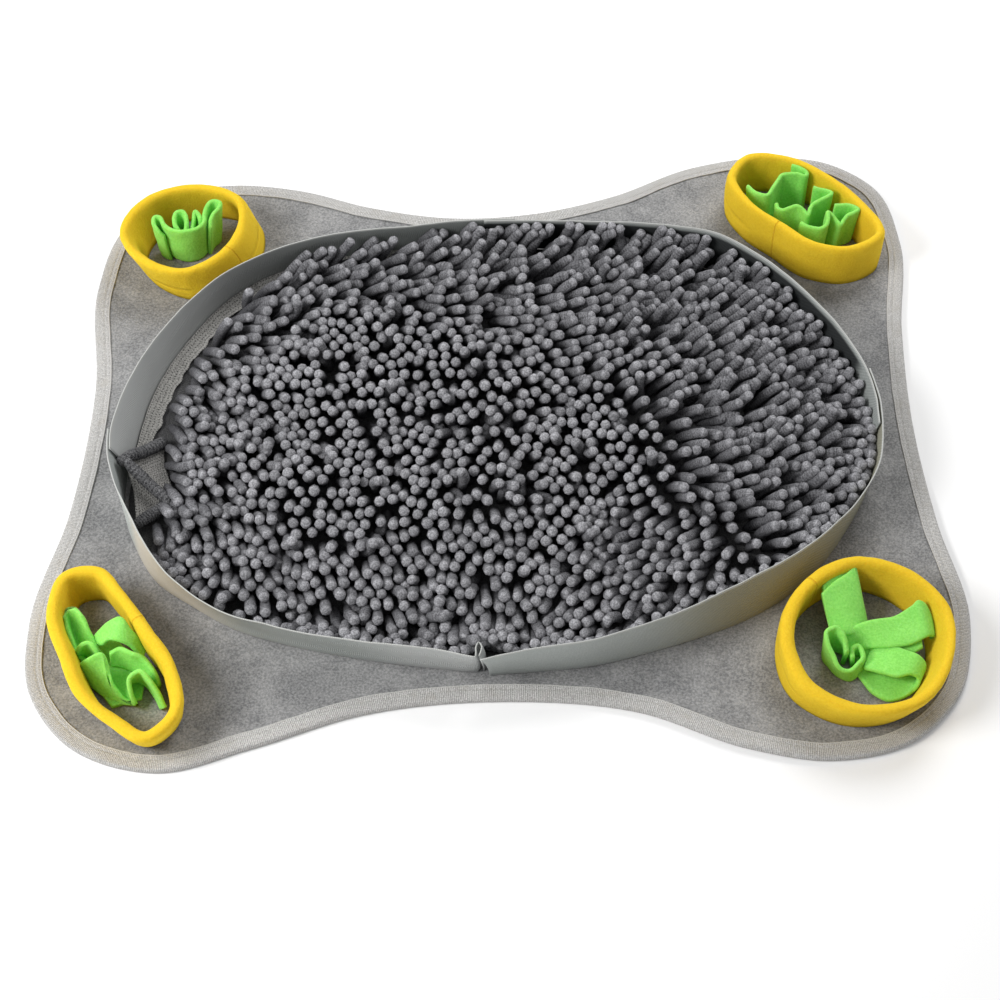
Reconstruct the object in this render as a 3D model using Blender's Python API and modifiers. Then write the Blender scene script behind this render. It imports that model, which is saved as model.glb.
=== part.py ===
"""Snuffle mat: a felt mat with four lobes and a bound edge. A ribbon fence stands round an oval
of chenille pile, and each lobe carries a fleece ring with a tuft of fleece strips inside.

Metres, +Z up, the mat's underside on Z = 0 and its long side along X. The tables are in
millimetres on the mat's cutting plan, whose datum is moved to the middle of the outline."""

import math

import bmesh
import bpy
import numpy as np
from mathutils import Matrix, Vector

MM = 0.001
DATUM = (-0.36, 2.77)  # middle of the outline on the cutting plan

# Sheets and walls, mm
FELT = 2.5
TAPE = 0.8
TAPE_WIDTH = 12.0  # of the folded tape, seen from above
RIBBON = 1.0
FLEECE = 2.0
RING_WALL = 6.0
BACKING = 1.6
GAP = 0.3  # between touching pieces

# Heights above the floor, mm
TAPE_LIFT = TAPE + GAP  # of the felt where the tape passes under it
RIM_SLOPE = 4.0  # width of the felt's fall from the tape to the floor
DECK = FELT + GAP  # where the pieces on the felt start
FENCE_FOOT, FENCE_TOP = 3.3, 38.0
ROOT_TOP = 7.0  # of a tuft, where its strips are tacked together
PILE_TOP = 30.5
LUMP = 2.4  # rise and fall of the pile's top
LUMP_FULL = 8.0  # inset from the pile's edge where its lumps have their whole height

# Steps round each closed form, and along the others
OUTLINE_STEPS = 100
PAD_STEPS = 96
RING_STEPS = 32
FENCE_STEPS = 30
STRIP_STEP = 4.5  # mm between a strip's cross lines
CURVE_STEPS = 16  # between two rows of a table

# The mat's edge: x, y, from the front waist anticlockwise
OUTLINE = [
    (0, -219), (83, -228), (149, -255), (199, -264), (250, -252), (284, -219), (299, -165),
    (290, -85), (286, 0), (291, 90), (302, 180), (291, 236), (256, 266), (208, 272.5),
    (150, 261), (90, 231), (30, 213), (-35, 209), (-95, 221), (-150, 240.5), (-202, 247),
    (-250, 236), (-280, 200), (-292, 140), (-283, 40), (-288, -70), (-303, -160), (-297, -208),
    (-265, -250), (-213, -267), (-156, -251), (-90, -228),
]

# Each ribbon of the fence, anticlockwise: foot x, foot y, top x, top y
FENCE = {
    "fence_front_right": [
        (-5, -200.5, -16, -212.5), (18, -198.5, 17, -207), (58, -194, 54, -198.5),
        (88, -186, 86, -187), (119, -176, 117, -174), (151, -163, 148, -157),
        (182, -144, 180, -138), (207, -120, 208, -117), (229, -89, 234, -88),
        (246, -57, 251, -57), (253.5, -27, 258.5, -25), (255, -6, 260.5, -2), (253, 12, 259, 16),
    ],
    "fence_back_right": [
        (251, -18, 254, -19), (250.5, -2, 254.5, -1), (247, 22, 251.5, 24), (238, 50, 242, 53),
        (221, 84, 226, 85), (204, 110, 207, 113), (183, 133, 186, 136), (160, 152, 162, 155),
        (127, 165, 131, 164), (92, 172, 96, 168), (50, 176, 49, 170), (3, 177.5, 3, 171),
        (-9, 177.5, -9, 171),
    ],
    "fence_back_left": [
        (14, 180, 14, 174), (-3, 180.5, -3, 174), (-28, 178.5, -28, 171.5), (-60, 174.5, -60, 167),
        (-106, 168, -104, 161.5), (-146, 157, -141, 152), (-172, 144, -168, 139),
        (-196, 123, -196, 119), (-215, 95, -216, 95), (-231, 64, -236, 62), (-242, 32, -249, 31),
        (-247, 4, -257, -1), (-249.5, -20, -260, -24), (-250.5, -38, -259, -41),
    ],
    "fence_front_left": [
        (-252, -22, -263.5, -24), (-253, -44, -262, -46), (-250.5, -70, -252, -72),
        (-241, -97, -240, -98), (-224, -126, -225, -125), (-200, -145, -206, -150),
        (-168, -165, -174, -174), (-137, -176, -142, -185), (-96, -186, -101, -195),
        (-56, -193, -59, -203), (-24, -197, -26, -208), (-16, -195.5, -18.5, -206.5),
        (-13.5, -192, -16, -201), (-10.5, -192, -13, -198.5), (-9.5, -195, -11, -202),
    ],
}
LAPS = {  # rows at each ribbon's start and end that belong to a lap and not to the oval
    "fence_front_right": (1, 2), "fence_back_right": (1, 1), "fence_back_left": (2, 1),
    "fence_front_left": (2, 4),
}

# Each ring: its crest's plan, then how its foot differs: size, shift x and y, and the height
RINGS = {
    "ring_back_left": {
        "crest": [(-221, 210), (-191, 196), (-187, 166), (-199, 139), (-226, 123), (-256, 136),
                  (-272, 163), (-256, 198)],
        "foot_size": 1.0, "foot_shift": (11, 6), "height": 36.0,
    },
    "ring_back_right": {
        "crest": [(177, 218), (187, 187), (206, 167), (229, 145), (255, 140), (279, 155),
                  (269, 186), (246, 217), (221, 235), (190, 237)],
        "foot_size": 1.0, "foot_shift": (0, 0), "height": 35.0,
    },
    "ring_front_left": {
        "crest": [(-276, -141), (-282, -168), (-270, -202), (-257, -229), (-236, -249),
                  (-214, -261), (-199, -246), (-203, -214), (-222, -184), (-242, -155),
                  (-258, -138)],
        "foot_size": 0.89, "foot_shift": (0, 8), "height": 32.0,
    },
    "ring_front_right": {
        "crest": [(228, -135), (256, -146), (274, -172), (273, -205), (251, -240), (214, -246),
                  (181, -225), (174, -189), (194, -152)],
        "foot_size": 0.92, "foot_shift": (-5, 4), "height": 30.0,
    },
}
RING_SECTION = [  # across in half walls, and the share of the height
    (-1.0, 0.0), (1.0, 0.0), (1.2, 0.5), (1.0, 0.9), (0.5, 0.985), (-0.5, 0.985), (-1.0, 0.9),
    (-1.1, 0.5),
]

# Each tuft: the tacked root's x, y, half length, half width and heading, and its strips. A
# strip's row is one fold: x, y and z on its lower edge, then x, y and z on its upper edge.
TUFTS = {
    "tuft_back_left": {
        "root": (-229, 170, 14, 8, 0),
        "strips": [
            [(-245, 176, 5, -245, 178, 31), (-251, 180, 5, -253, 185, 35),
             (-248, 172, 5, -248, 173, 35), (-240, 165, 5, -239, 165, 34),
             (-230, 162, 5, -229, 163, 34), (-219, 165, 5, -219, 167, 34),
             (-211, 174, 5, -212, 180, 36), (-206, 183, 5, -206, 198, 38),
             (-201, 181, 5, -200, 194, 37), (-204, 175, 5, -205, 183, 33)],
            [(-227, 167, 4, -229, 168, 34), (-234, 172, 4, -237, 176, 36),
             (-233, 179, 4, -236, 187, 37), (-227, 178, 4, -229, 187, 36),
             (-225, 172, 4, -225, 175, 31), (-220, 177, 5, -220, 188, 36),
             (-213, 173, 5, -214, 180, 32)],
        ],
    },
    "tuft_back_right": {
        "root": (230, 192, 32, 11, 130),
        "strips": [
            [(196, 206, 5, 191, 209, 33), (203, 197, 5, 200, 196, 32),
             (210, 203, 5, 208, 204, 34), (213, 213, 5, 211, 214, 36),
             (222, 215, 5, 221, 216, 36), (230, 215, 5, 230, 217, 37),
             (223, 221, 5, 219, 226, 36)],
            [(207, 189, 5, 206, 189, 32), (214, 184, 5, 213, 181, 33),
             (224, 187, 4, 223, 187, 33), (231, 179, 4, 229, 178, 30),
             (239, 187, 4, 239, 190, 35), (246, 194, 4, 247, 197, 36),
             (240, 201, 5, 238, 206, 35)],
            [(222, 169, 5, 221, 168, 33), (231, 163, 5, 231, 161, 34),
             (240, 168, 5, 242, 166, 35), (241, 176, 5, 243, 178, 36),
             (249, 169, 5, 251, 169, 31), (259, 174, 5, 262, 177, 34),
             (254, 182, 5, 253, 185, 34)],
        ],
    },
    "tuft_front_left": {
        "root": (-242, -208, 23, 12, 118),
        "strips": [
            [(-255, -197, 5, -246, -192, 15), (-264, -185, 6, -253, -181, 22),
             (-269, -171, 8, -260, -167, 29)],
            [(-252, -190, 5, -236, -178, 25), (-240, -196, 6, -230, -186, 27),
             (-227, -209, 5, -221, -205, 22)],
            [(-246, -206, 4, -243, -199, 26), (-232, -207, 5, -229, -202, 29),
             (-220, -219, 5, -216, -215, 25), (-214, -233, 4, -211, -231, 16)],
            [(-259, -202, 4, -262, -208, 28), (-249, -203, 4, -247, -205, 30),
             (-244, -217, 4, -239, -216, 29), (-239, -226, 4, -235, -228, 21)],
            [(-232, -232, 4, -231, -231, 12), (-229, -221, 4, -228, -220, 22),
             (-222, -223, 4, -220, -221, 22), (-221, -234, 4, -219, -233, 10)],
        ],
    },
    "tuft_front_right": {
        "root": (211, -202, 14, 10, 120),
        "strips": [
            [(205, -197, 5, 222, -192, 9), (203, -180, 10, 222, -176, 15),
             (201, -162, 19, 219, -149, 25)],
            [(219, -201, 7, 216, -188, 15), (236, -195, 12, 234, -178, 21),
             (252, -190, 19, 249, -172, 26), (263, -186, 24, 259, -169, 29)],
            [(214, -213, 5, 222, -203, 13), (228, -222, 5, 238, -203, 13),
             (242, -223, 7, 252, -209, 13)],
            [(201, -186, 5, 201, -183, 24), (201, -200, 5, 202, -192, 25),
             (210, -212, 5, 209, -205, 22), (217, -206, 5, 216, -200, 22),
             (208, -197, 5, 208, -193, 24), (207, -189, 5, 207, -186, 24)],
        ],
    },
}

# The pad: how its edge and its pile stand
PAD_INSET = 2.6  # of its edge, from the fence's foot
NOTCH = (6.0, 267.0, 6.0)  # more where a ribbon curls in: depth, heading, half length in degrees
FLANGE = 7.0  # bare backing round the pile
BARE = (6.0, 165.0, 42.0)  # more where it shows, on the left: width, heading, half length
SHOULDER = [(0.0, 6.0), (2.5, 14.0), (8.0, 24.0), (20.0, PILE_TOP)]  # inset, height
CROWN_RINGS = 9  # between the last shoulder and the middle
LOCKS = {  # the shoulder that its row ends on, rise in degrees, length and side inset
    "low": (1, 30.0, 9.0, 2.2),
    "high": (2, 48.0, 13.0, 2.2),
}
LOCK_CLEAR = 5.5  # from a lock's middle to the ribbon
LOCK_LEAST = 2.0  # reach of a lock that has no room
NO_LOCKS = [(183.0, 208.0), (264.0, 272.0)]  # headings of the folded corner and of the front lap

# The pad's corner folded up against the fence: its foot line, then its blunt apex, as x, y, z
CORNER = [[(-238, -18, 4), (-231, -98, 4)], [(-251, -44, 31), (-250, -46, 31)]]

COLOURS = {  # base colour, roughness
    "base": ((0.215, 0.215, 0.22), 0.95),
    "binding": ((0.45, 0.43, 0.40), 0.85),
    "fence": ((0.42, 0.44, 0.43), 0.7),
    "pile": ((0.10, 0.10, 0.108), 0.98),
    "ring": ((0.85, 0.62, 0.02), 0.95),
    "tuft": ((0.12, 0.66, 0.07), 0.95),
}


def at(x, y, z=0.0):
    """A plan point in metres, from the middle of the mat."""
    return Vector(((x - DATUM[0]) * MM, (y - DATUM[1]) * MM, z * MM))


def curve_through(rows, count, closed=False):
    """count rows spread evenly along the smooth curve through the given rows."""
    rows = np.asarray(rows, dtype=float)
    spans = len(rows) if closed else len(rows) - 1
    fine = []
    for i in range(spans):
        start, end = rows[i], rows[(i + 1) % len(rows)]
        before = rows[i - 1] if closed or i > 0 else 2 * start - end
        after = rows[(i + 2) % len(rows)] if closed or i + 2 < len(rows) else 2 * end - start
        a, b, c = (max(np.linalg.norm(q - p), 1e-6)
                   for p, q in ((before, start), (start, end), (end, after)))
        leaving = b * ((start - before) / a * b + (end - start) / b * a) / (a + b)
        arriving = b * ((end - start) / b * c + (after - end) / c * b) / (b + c)
        for t in np.linspace(0, 1, CURVE_STEPS, endpoint=False):
            fine.append((2 * t**3 - 3 * t**2 + 1) * start + (t**3 - 2 * t**2 + t) * leaving
                        + (3 * t**2 - 2 * t**3) * end + (t**3 - t**2) * arriving)
    fine.append(rows[0] if closed else rows[-1])
    fine = np.array(fine)
    run = np.concatenate([[0], np.cumsum(np.linalg.norm(np.diff(fine, axis=0), axis=1))])
    wanted = np.linspace(0, run[-1], count + 1)[:-1] if closed else np.linspace(0, run[-1], count)
    return np.column_stack([np.interp(wanted, run, column) for column in fine.T])


def outward(loop):
    """Unit normals of an anticlockwise closed plan loop, pointing out."""
    along = np.roll(loop, -1, axis=0) - np.roll(loop, 1, axis=0)
    normals = np.column_stack([along[:, 1], -along[:, 0]])
    return normals / np.linalg.norm(normals, axis=1)[:, None]


def material(kind):
    if kind in bpy.data.materials:
        return bpy.data.materials[kind]
    made = bpy.data.materials.new(kind)
    made.use_nodes = True
    shader = made.node_tree.nodes["Principled BSDF"]
    colour, roughness = COLOURS[kind]
    shader.inputs["Base Color"].default_value = (*colour, 1.0)
    shader.inputs["Roughness"].default_value = roughness
    made.diffuse_color = (*colour, 1.0)
    return made


def collection(name):
    made = bpy.data.collections.new(name)
    bpy.context.scene.collection.children.link(made)
    return made


def add_object(name, mesh, kind, group):
    mesh.materials.append(material(kind))
    made = bpy.data.objects.new(name, mesh)
    group.objects.link(made)
    return made


def mesh_from(bm, name):
    mesh = bpy.data.meshes.new(name)
    bm.to_mesh(mesh)
    bm.free()
    return mesh


def loft(name, sections, kind, group):
    """A solid hoop through closed sections that stand round a closed path."""
    bm = bmesh.new()
    rings = [[bm.verts.new(point) for point in section] for section in sections]
    for near, far in zip(rings, rings[1:] + rings[:1]):
        for k in range(len(near)):
            following = (k + 1) % len(near)
            bm.faces.new((near[k], far[k], far[following], near[following]))
    bmesh.ops.recalc_face_normals(bm, faces=bm.faces)
    made = add_object(name, mesh_from(bm, name), kind, group)
    made.data.shade_smooth()
    return made


def sheet(name, lines, thickness, kind, group):
    """A cloth sheet whose surface runs through the given cross lines."""
    bm = bmesh.new()
    grid = [[bm.verts.new(point) for point in line] for line in lines]
    for near, far in zip(grid, grid[1:]):
        for k in range(len(near) - 1):
            bm.faces.new((near[k], far[k], far[k + 1], near[k + 1]))
    made = add_object(name, mesh_from(bm, name), kind, group)
    solid = made.modifiers.new("Thickness", "SOLIDIFY")
    solid.thickness = thickness * MM
    solid.offset = 0.0
    return made


def join_guide(body, guide):
    """The guide becomes part of the body, and isn't shown itself."""
    guide.hide_render = True
    guide.display_type = "WIRE"
    join = body.modifiers.new(guide.name, "BOOLEAN")
    join.operation = "UNION"
    join.solver = "EXACT"
    join.object = guide


def make_base(group):
    """The felt: raised by the tape at its rim, and flat on the floor inside."""
    edge = curve_through(OUTLINE, OUTLINE_STEPS, closed=True)
    normals = outward(edge)
    bm = bmesh.new()
    flat = TAPE_WIDTH + 1
    loops = [[bm.verts.new(at(x, y, z)) for x, y in edge - normals * inset]
             for inset, z in ((TAPE_LIFT, TAPE_LIFT), (flat, TAPE_LIFT), (flat + RIM_SLOPE, 0.0))]
    for outer, inner in zip(loops, loops[1:]):
        for k in range(OUTLINE_STEPS):
            bm.faces.new((outer[k - 1], outer[k], inner[k], inner[k - 1]))
    bm.faces.new(loops[-1])
    base = add_object("base", mesh_from(bm, "base"), "base", group)
    solid = base.modifiers.new("Thickness", "SOLIDIFY")
    solid.thickness = FELT * MM
    solid.offset = 1.0


def make_binding(group):
    """The folded tape: its section is a hook that holds the felt's edge."""
    loop = curve_through(OUTLINE, OUTLINE_STEPS, closed=True)
    normals = outward(loop)
    top = 2 * TAPE + 2 * GAP + FELT
    bend = TAPE  # chamfer of the folded edge
    section = [  # inset from the edge, height
        (TAPE_WIDTH, 0.0), (bend, 0.0), (0.0, bend), (0.0, top - bend), (bend, top),
        (TAPE_WIDTH, top), (TAPE_WIDTH, top - TAPE), (TAPE, top - TAPE), (TAPE, TAPE),
        (TAPE_WIDTH, TAPE),
    ]
    sections = [[at(x - nx * inset, y - ny * inset, z) for inset, z in section]
                for (x, y), (nx, ny) in zip(loop, normals)]
    loft("binding", sections, "binding", group)


def make_fence(group):
    for name, rows in FENCE.items():
        lines = [(at(fx, fy, FENCE_FOOT),
                  at((fx + tx) / 2, (fy + ty) / 2, (FENCE_FOOT + FENCE_TOP) / 2),
                  at(tx, ty, FENCE_TOP)) for fx, fy, tx, ty in curve_through(rows, FENCE_STEPS)]
        sheet(name, lines, RIBBON, "fence", group)


def make_rings(group):
    for name, ring in RINGS.items():
        crest = curve_through(ring["crest"], RING_STEPS, closed=True)
        if np.cross(crest[1] - crest[0], crest[2] - crest[0]) < 0:
            crest = crest[::-1]
        middle = crest.mean(axis=0)
        foot = middle + (crest - middle) * ring["foot_size"] + ring["foot_shift"]
        normals = outward(crest)
        sections = []
        for low, high, normal in zip(foot, crest, normals):
            line = []
            for across, share in RING_SECTION:
                x, y = low + (high - low) * share + normal * across * RING_WALL / 2
                line.append(at(x, y, DECK + ring["height"] * share))
            sections.append(line)
        loft(name, sections, "ring", group)


def make_tufts(group, guides):
    """Each tuft's strips and tacked root, joined into one body."""
    for name, tuft in TUFTS.items():
        x, y, long, wide, turn = tuft["root"]
        place = (Matrix.Translation(at(x, y, (ROOT_TOP + DECK) / 2))
                 @ Matrix.Rotation(math.radians(turn), 4, "Z")
                 @ Matrix.Diagonal((long * MM, wide * MM, (ROOT_TOP - DECK) * MM, 1)))
        bm = bmesh.new()
        bmesh.ops.create_cone(bm, cap_ends=True, segments=14, radius1=1, radius2=0.9, depth=1,
                              matrix=place)
        root = add_object(name, mesh_from(bm, name), "tuft", group)
        for number, rows in enumerate(tuft["strips"]):
            length = sum(math.dist(a[:2], b[:2]) for a, b in zip(rows, rows[1:]))
            count = max(4, round(length / STRIP_STEP))
            lines = [(at(*row[:3]), at(*row[3:])) for row in curve_through(rows, count)]
            strip = sheet(f"{name}_strip_{number}", lines, FLEECE, "tuft", guides)
            join_guide(root, strip)


def fence_loops():
    """The oval's foot and top, sampled alike, without the ribbons' laps."""
    rows = []
    for name in FENCE:
        first, last = LAPS[name]
        rows += FENCE[name][first:len(FENCE[name]) - last]
    both = curve_through(rows, PAD_STEPS, closed=True)
    return both[:, :2], both[:, 2:]


def heading(point):
    return math.degrees(math.atan2(point[1] - DATUM[1], point[0] - DATUM[0])) % 360


def swell(degrees, stretch):
    """A smooth rise and fall about a heading: stretch is its height, heading and half length."""
    height, middle, half = stretch
    return height * (0.5 + 0.5 * math.cos(math.pi * min(abs(degrees - middle) / half, 1.0)))


def lump(x, y):
    """Rise of the pile's top over the plan, in mm."""
    waves = math.sin(x / 13.0 + 0.9 * math.sin(y / 25.0)) * math.cos(y / 12.0 + x / 70.0)
    return LUMP * (waves + 0.3 * math.sin(x / 27.0 - y / 19.0))


def make_pad(group, guides):
    foot, top = fence_loops()
    normals = outward(foot)
    leans = ((top - foot) * normals).sum(axis=1)
    headings = [heading(point) for point in foot]
    edge = foot - normals * [[PAD_INSET + swell(degrees, NOTCH)] for degrees in headings]
    flanges = [FLANGE + swell(degrees, BARE) for degrees in headings]
    bm = bmesh.new()
    rings = [[bm.verts.new(at(x, y, z)) for x, y in edge] for z in (DECK, DECK + BACKING)]
    for inset, z in SHOULDER:
        ring = []
        for (x, y), (nx, ny), flange in zip(edge, normals, flanges):
            px, py = x - nx * (flange + inset), y - ny * (flange + inset)
            rise = lump(px, py) * min(inset / LUMP_FULL, 1.0)
            ring.append(bm.verts.new(at(px, py, z + rise)))
        rings.append(ring)
    centre = edge.mean(axis=0)
    inner = edge - normals * (np.array(flanges)[:, None] + SHOULDER[-1][0])
    for share in np.linspace(1, 0, CROWN_RINGS + 2)[1:-1]:
        rings.append([bm.verts.new(at(x, y, PILE_TOP + lump(x, y)))
                      for x, y in centre + (inner - centre) * share])
    rows = []
    for near, far in zip(rings, rings[1:]):
        rows.append([bm.faces.new((near[k - 1], near[k], far[k], far[k - 1]))
                     for k in range(PAD_STEPS)])
    middle = bm.verts.new(at(*centre, PILE_TOP + lump(*centre)))
    for k in range(PAD_STEPS):
        bm.faces.new((rings[-1][k - 1], rings[-1][k], middle))
    bm.faces.new(rings[0][::-1])
    bm.normal_update()
    for row, rise, length, side in LOCKS.values():
        add_locks(bm, rows[1 + row], normals, leans, flanges, row, rise, length, side)
    bmesh.ops.recalc_face_normals(bm, faces=bm.faces)
    pad = add_object("pile_pad", mesh_from(bm, "pile_pad"), "pile", group)
    corner = [[at(*point) for point in line] for line in CORNER]
    join_guide(pad, sheet("pad_corner", corner, BACKING, "pile", guides))


def add_locks(bm, faces, normals, leans, flanges, row, rise, length, side):
    """Four-sided fingers out of one row of the pile's shoulder, short of the fence."""
    angle = math.radians(rise)
    inset = (SHOULDER[row - 1][0] + SHOULDER[row][0]) / 2
    height = (SHOULDER[row - 1][1] + SHOULDER[row][1]) / 2
    for k, face in enumerate(faces):
        spot = face.calc_center_median() / MM
        degrees = heading((spot.x + DATUM[0], spot.y + DATUM[1]))
        if any(low < degrees < high for low, high in NO_LOCKS):
            continue
        tip_height = height + length * math.sin(angle)
        ribbon = PAD_INSET + leans[k] * (tip_height - FENCE_FOOT) / (FENCE_TOP - FENCE_FOOT)
        room = flanges[k] + inset + min(ribbon, PAD_INSET) - LOCK_CLEAR
        reach = min(length * math.cos(angle), max(room, LOCK_LEAST))
        step = Vector((*(normals[k] * reach), length * math.sin(angle))) * MM
        bmesh.ops.inset_individual(bm, faces=[face], thickness=side * MM, use_even_offset=True)
        tips = bmesh.ops.extrude_discrete_faces(bm, faces=[face])["faces"]
        bmesh.ops.translate(bm, verts=list(tips[0].verts), vec=step)


def main():
    for old in list(bpy.data.objects):
        bpy.data.objects.remove(old, do_unlink=True)
    group = collection("snuffle_mat")
    guides = collection("guides")
    make_base(group)
    make_binding(group)
    make_fence(group)
    make_pad(group, guides)
    make_rings(group)
    make_tufts(group, guides)


main()
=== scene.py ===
import math

import bpy
import numpy as np
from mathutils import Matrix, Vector, geometry, kdtree, noise


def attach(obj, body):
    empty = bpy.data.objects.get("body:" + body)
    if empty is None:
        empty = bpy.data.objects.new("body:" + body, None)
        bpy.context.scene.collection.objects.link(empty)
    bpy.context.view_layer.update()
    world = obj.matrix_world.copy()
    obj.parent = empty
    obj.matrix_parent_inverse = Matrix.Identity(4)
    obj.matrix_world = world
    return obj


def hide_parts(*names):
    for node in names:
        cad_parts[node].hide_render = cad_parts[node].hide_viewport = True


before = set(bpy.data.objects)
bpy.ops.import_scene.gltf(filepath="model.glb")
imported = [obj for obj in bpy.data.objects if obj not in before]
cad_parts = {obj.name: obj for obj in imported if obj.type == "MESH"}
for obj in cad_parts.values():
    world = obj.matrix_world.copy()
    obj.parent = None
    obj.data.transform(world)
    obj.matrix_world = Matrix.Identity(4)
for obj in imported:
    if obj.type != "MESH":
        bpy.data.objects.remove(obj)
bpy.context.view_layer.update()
scene = bpy.context.scene
mm = 0.001

# The mat's own sizes, in mm on its cutting plan. Datum is the middle of the outline there.
mat = {
    "datum": (-0.36, 2.77), "felt": 2.5, "tapeWidth": 12.0, "tapeLift": 1.1, "rimSlope": 4.0,
    "deck": 2.8, "fenceFoot": 3.3, "fenceTop": 38.0, "backing": 1.6,
    "outline": [
        (0, -219), (83, -228), (149, -255), (199, -264), (250, -252), (284, -219),
        (299, -165), (290, -85), (286, 0), (291, 90), (302, 180), (291, 236), (256, 266),
        (208, 272.5), (150, 261), (90, 231), (30, 213), (-35, 209), (-95, 221),
        (-150, 240.5), (-202, 247), (-250, 236), (-280, 200), (-292, 140), (-283, 40),
        (-288, -70), (-303, -160), (-297, -208), (-265, -250), (-213, -267), (-156, -251),
        (-90, -228),
    ],
}


def curveThrough(rows, count, closed=False, steps=16):  # evenly spaced rows on a smooth curve
    rows = np.asarray(rows, dtype=float)
    spans = len(rows) if closed else len(rows) - 1
    share = np.linspace(0, 1, steps, endpoint=False)[:, None]
    fine = []
    for i in range(spans):
        start, end = rows[i], rows[(i + 1) % len(rows)]
        before = rows[i - 1] if closed or i > 0 else 2 * start - end
        after = rows[(i + 2) % len(rows)] if closed or i + 2 < len(rows) else 2 * end - start
        a, b, c = (max(np.linalg.norm(q - p), 1e-6)
                   for p, q in ((before, start), (start, end), (end, after)))
        leaving = b * ((start - before) / a * b + (end - start) / b * a) / (a + b)
        arriving = b * ((end - start) / b * c + (after - end) / c * b) / (b + c)
        fine.append((2 * share**3 - 3 * share**2 + 1) * start
                    + (share**3 - 2 * share**2 + share) * leaving
                    + (3 * share**2 - 2 * share**3) * end + (share**3 - share**2) * arriving)
    fine = np.vstack([*fine, rows[:1] if closed else rows[-1:]])
    run = np.concatenate([[0], np.cumsum(np.linalg.norm(np.diff(fine, axis=0), axis=1))])
    wanted = np.linspace(0, run[-1], count + 1)[:-1] if closed else np.linspace(0, run[-1], count)
    return np.column_stack([np.interp(wanted, run, column) for column in fine.T])


def unit(vectors):
    return vectors / np.maximum(np.linalg.norm(vectors, axis=-1, keepdims=True), 1e-9)


def outward(loop):  # normals of an anticlockwise plan loop
    along = np.roll(loop, -1, axis=0) - np.roll(loop, 1, axis=0)
    return unit(np.column_stack([along[:, 1], -along[:, 0]]))


def lengthsAlong(points, closed=False):  # running length, with the whole length at the end
    steps = np.linalg.norm(np.diff(points, axis=0), axis=-1)
    if closed:
        steps = np.append(steps, np.linalg.norm(points[0] - points[-1]))
    return np.concatenate([[0], np.cumsum(steps)])


def ripple(points, size, seed=0.0):  # smooth noise, about -1 to 1, in bumps of that size
    points = np.asarray(points, dtype=float)
    if points.shape[-1] == 2:
        points = np.concatenate([points, np.zeros((*points.shape[:-1], 1))], axis=-1)
    flat = points.reshape(-1, 3) / size + seed
    return np.array([noise.noise(p) for p in flat]).reshape(points.shape[:-1]) * 1.6


def ripples(points, waves):  # several together, each with its size, seed and depth
    return sum(ripple(points, size, seed) * depth for size, seed, depth in waves)


def hill(values, middle, half):  # 1 at the middle, down to 0 at half either side
    return 0.5 + 0.5 * np.cos(np.pi * np.minimum(np.abs(values - middle) / half, 1.0))


def lattice(loop, spacing):  # spots in even triangles over the loop's box
    (left, front), (right, rear) = loop.min(axis=0), loop.max(axis=0)
    return [(x + spacing / 2 * (row % 2), y)
            for row, y in enumerate(np.arange(front, rear, spacing * 0.866))
            for x in np.arange(left, right, spacing)]


def treeOf(points):  # to find the nearest of the points, in plan or in space
    tree = kdtree.KDTree(len(points))
    for index, point in enumerate(points):
        tree.insert((*point, 0)[:3], index)
    tree.balance()
    return tree


def makePiece(name, points, faces, corners=None, tone=None):
    points = (np.asarray(points) - [*mat["datum"], 0.0]) * mm
    mesh = bpy.data.meshes.new(name)
    mesh.from_pydata(points.tolist(), [], faces)
    if corners is not None:  # where each corner lies on the flat cloth, in mm
        mesh.uv_layers.new(name="cloth").uv.foreach_set("vector", np.asarray(corners).ravel())
    if tone is not None:
        mesh.attributes.new("tone", "FLOAT", "POINT").data.foreach_set("value", tone)
    mesh.shade_smooth()
    piece = bpy.data.objects.new(name, mesh)
    scene.collection.objects.link(piece)
    return piece


def gridFaces(rows, columns, around=False):
    # quads between rows that are closed sections, with each corner's row and column
    i, j = np.meshgrid(np.arange(rows if around else rows - 1), np.arange(columns), indexing="ij")
    i, j = i.ravel(), j.ravel()
    far, beside = (i + 1) % rows, (j + 1) % columns
    faces = np.stack([i * columns + j, far * columns + j, far * columns + beside,
                      i * columns + beside], axis=1)
    return faces, np.stack([i, i + 1, i + 1, i], axis=1), np.stack([j, j, j + 1, j + 1], axis=1)


def gridPiece(name, grid, u, v, around=False):
    # a closed skin: a row is a section, u runs along the rows and v across each
    rows, columns = grid.shape[:2]
    faces, alongs, acrosses = gridFaces(rows, columns, around)
    corners = np.stack([np.asarray(u)[alongs], np.asarray(v)[acrosses]], axis=2)
    middle = grid.mean(axis=1, keepdims=True)
    turns = np.cross(grid - middle, np.roll(grid - middle, -1, axis=1)).sum(axis=1)
    turned = (turns * np.gradient(middle[:, 0], axis=0)).sum() > 0
    if turned:
        faces, corners = faces[:, ::-1], corners[:, ::-1]
    faces, corners = faces.tolist(), [tuple(x) for quad in corners for x in quad]
    if not around:
        first = list(range(columns))
        last = [(rows - 1) * columns + k for k in first]
        for end, value in ((first, u[0]), (last[::-1], u[-1])):
            faces.append(end[::-1] if turned else end)
            corners += [(value, 0.0)] * columns
    return makePiece(name, grid.reshape(-1, 3), faces, corners)


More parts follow.
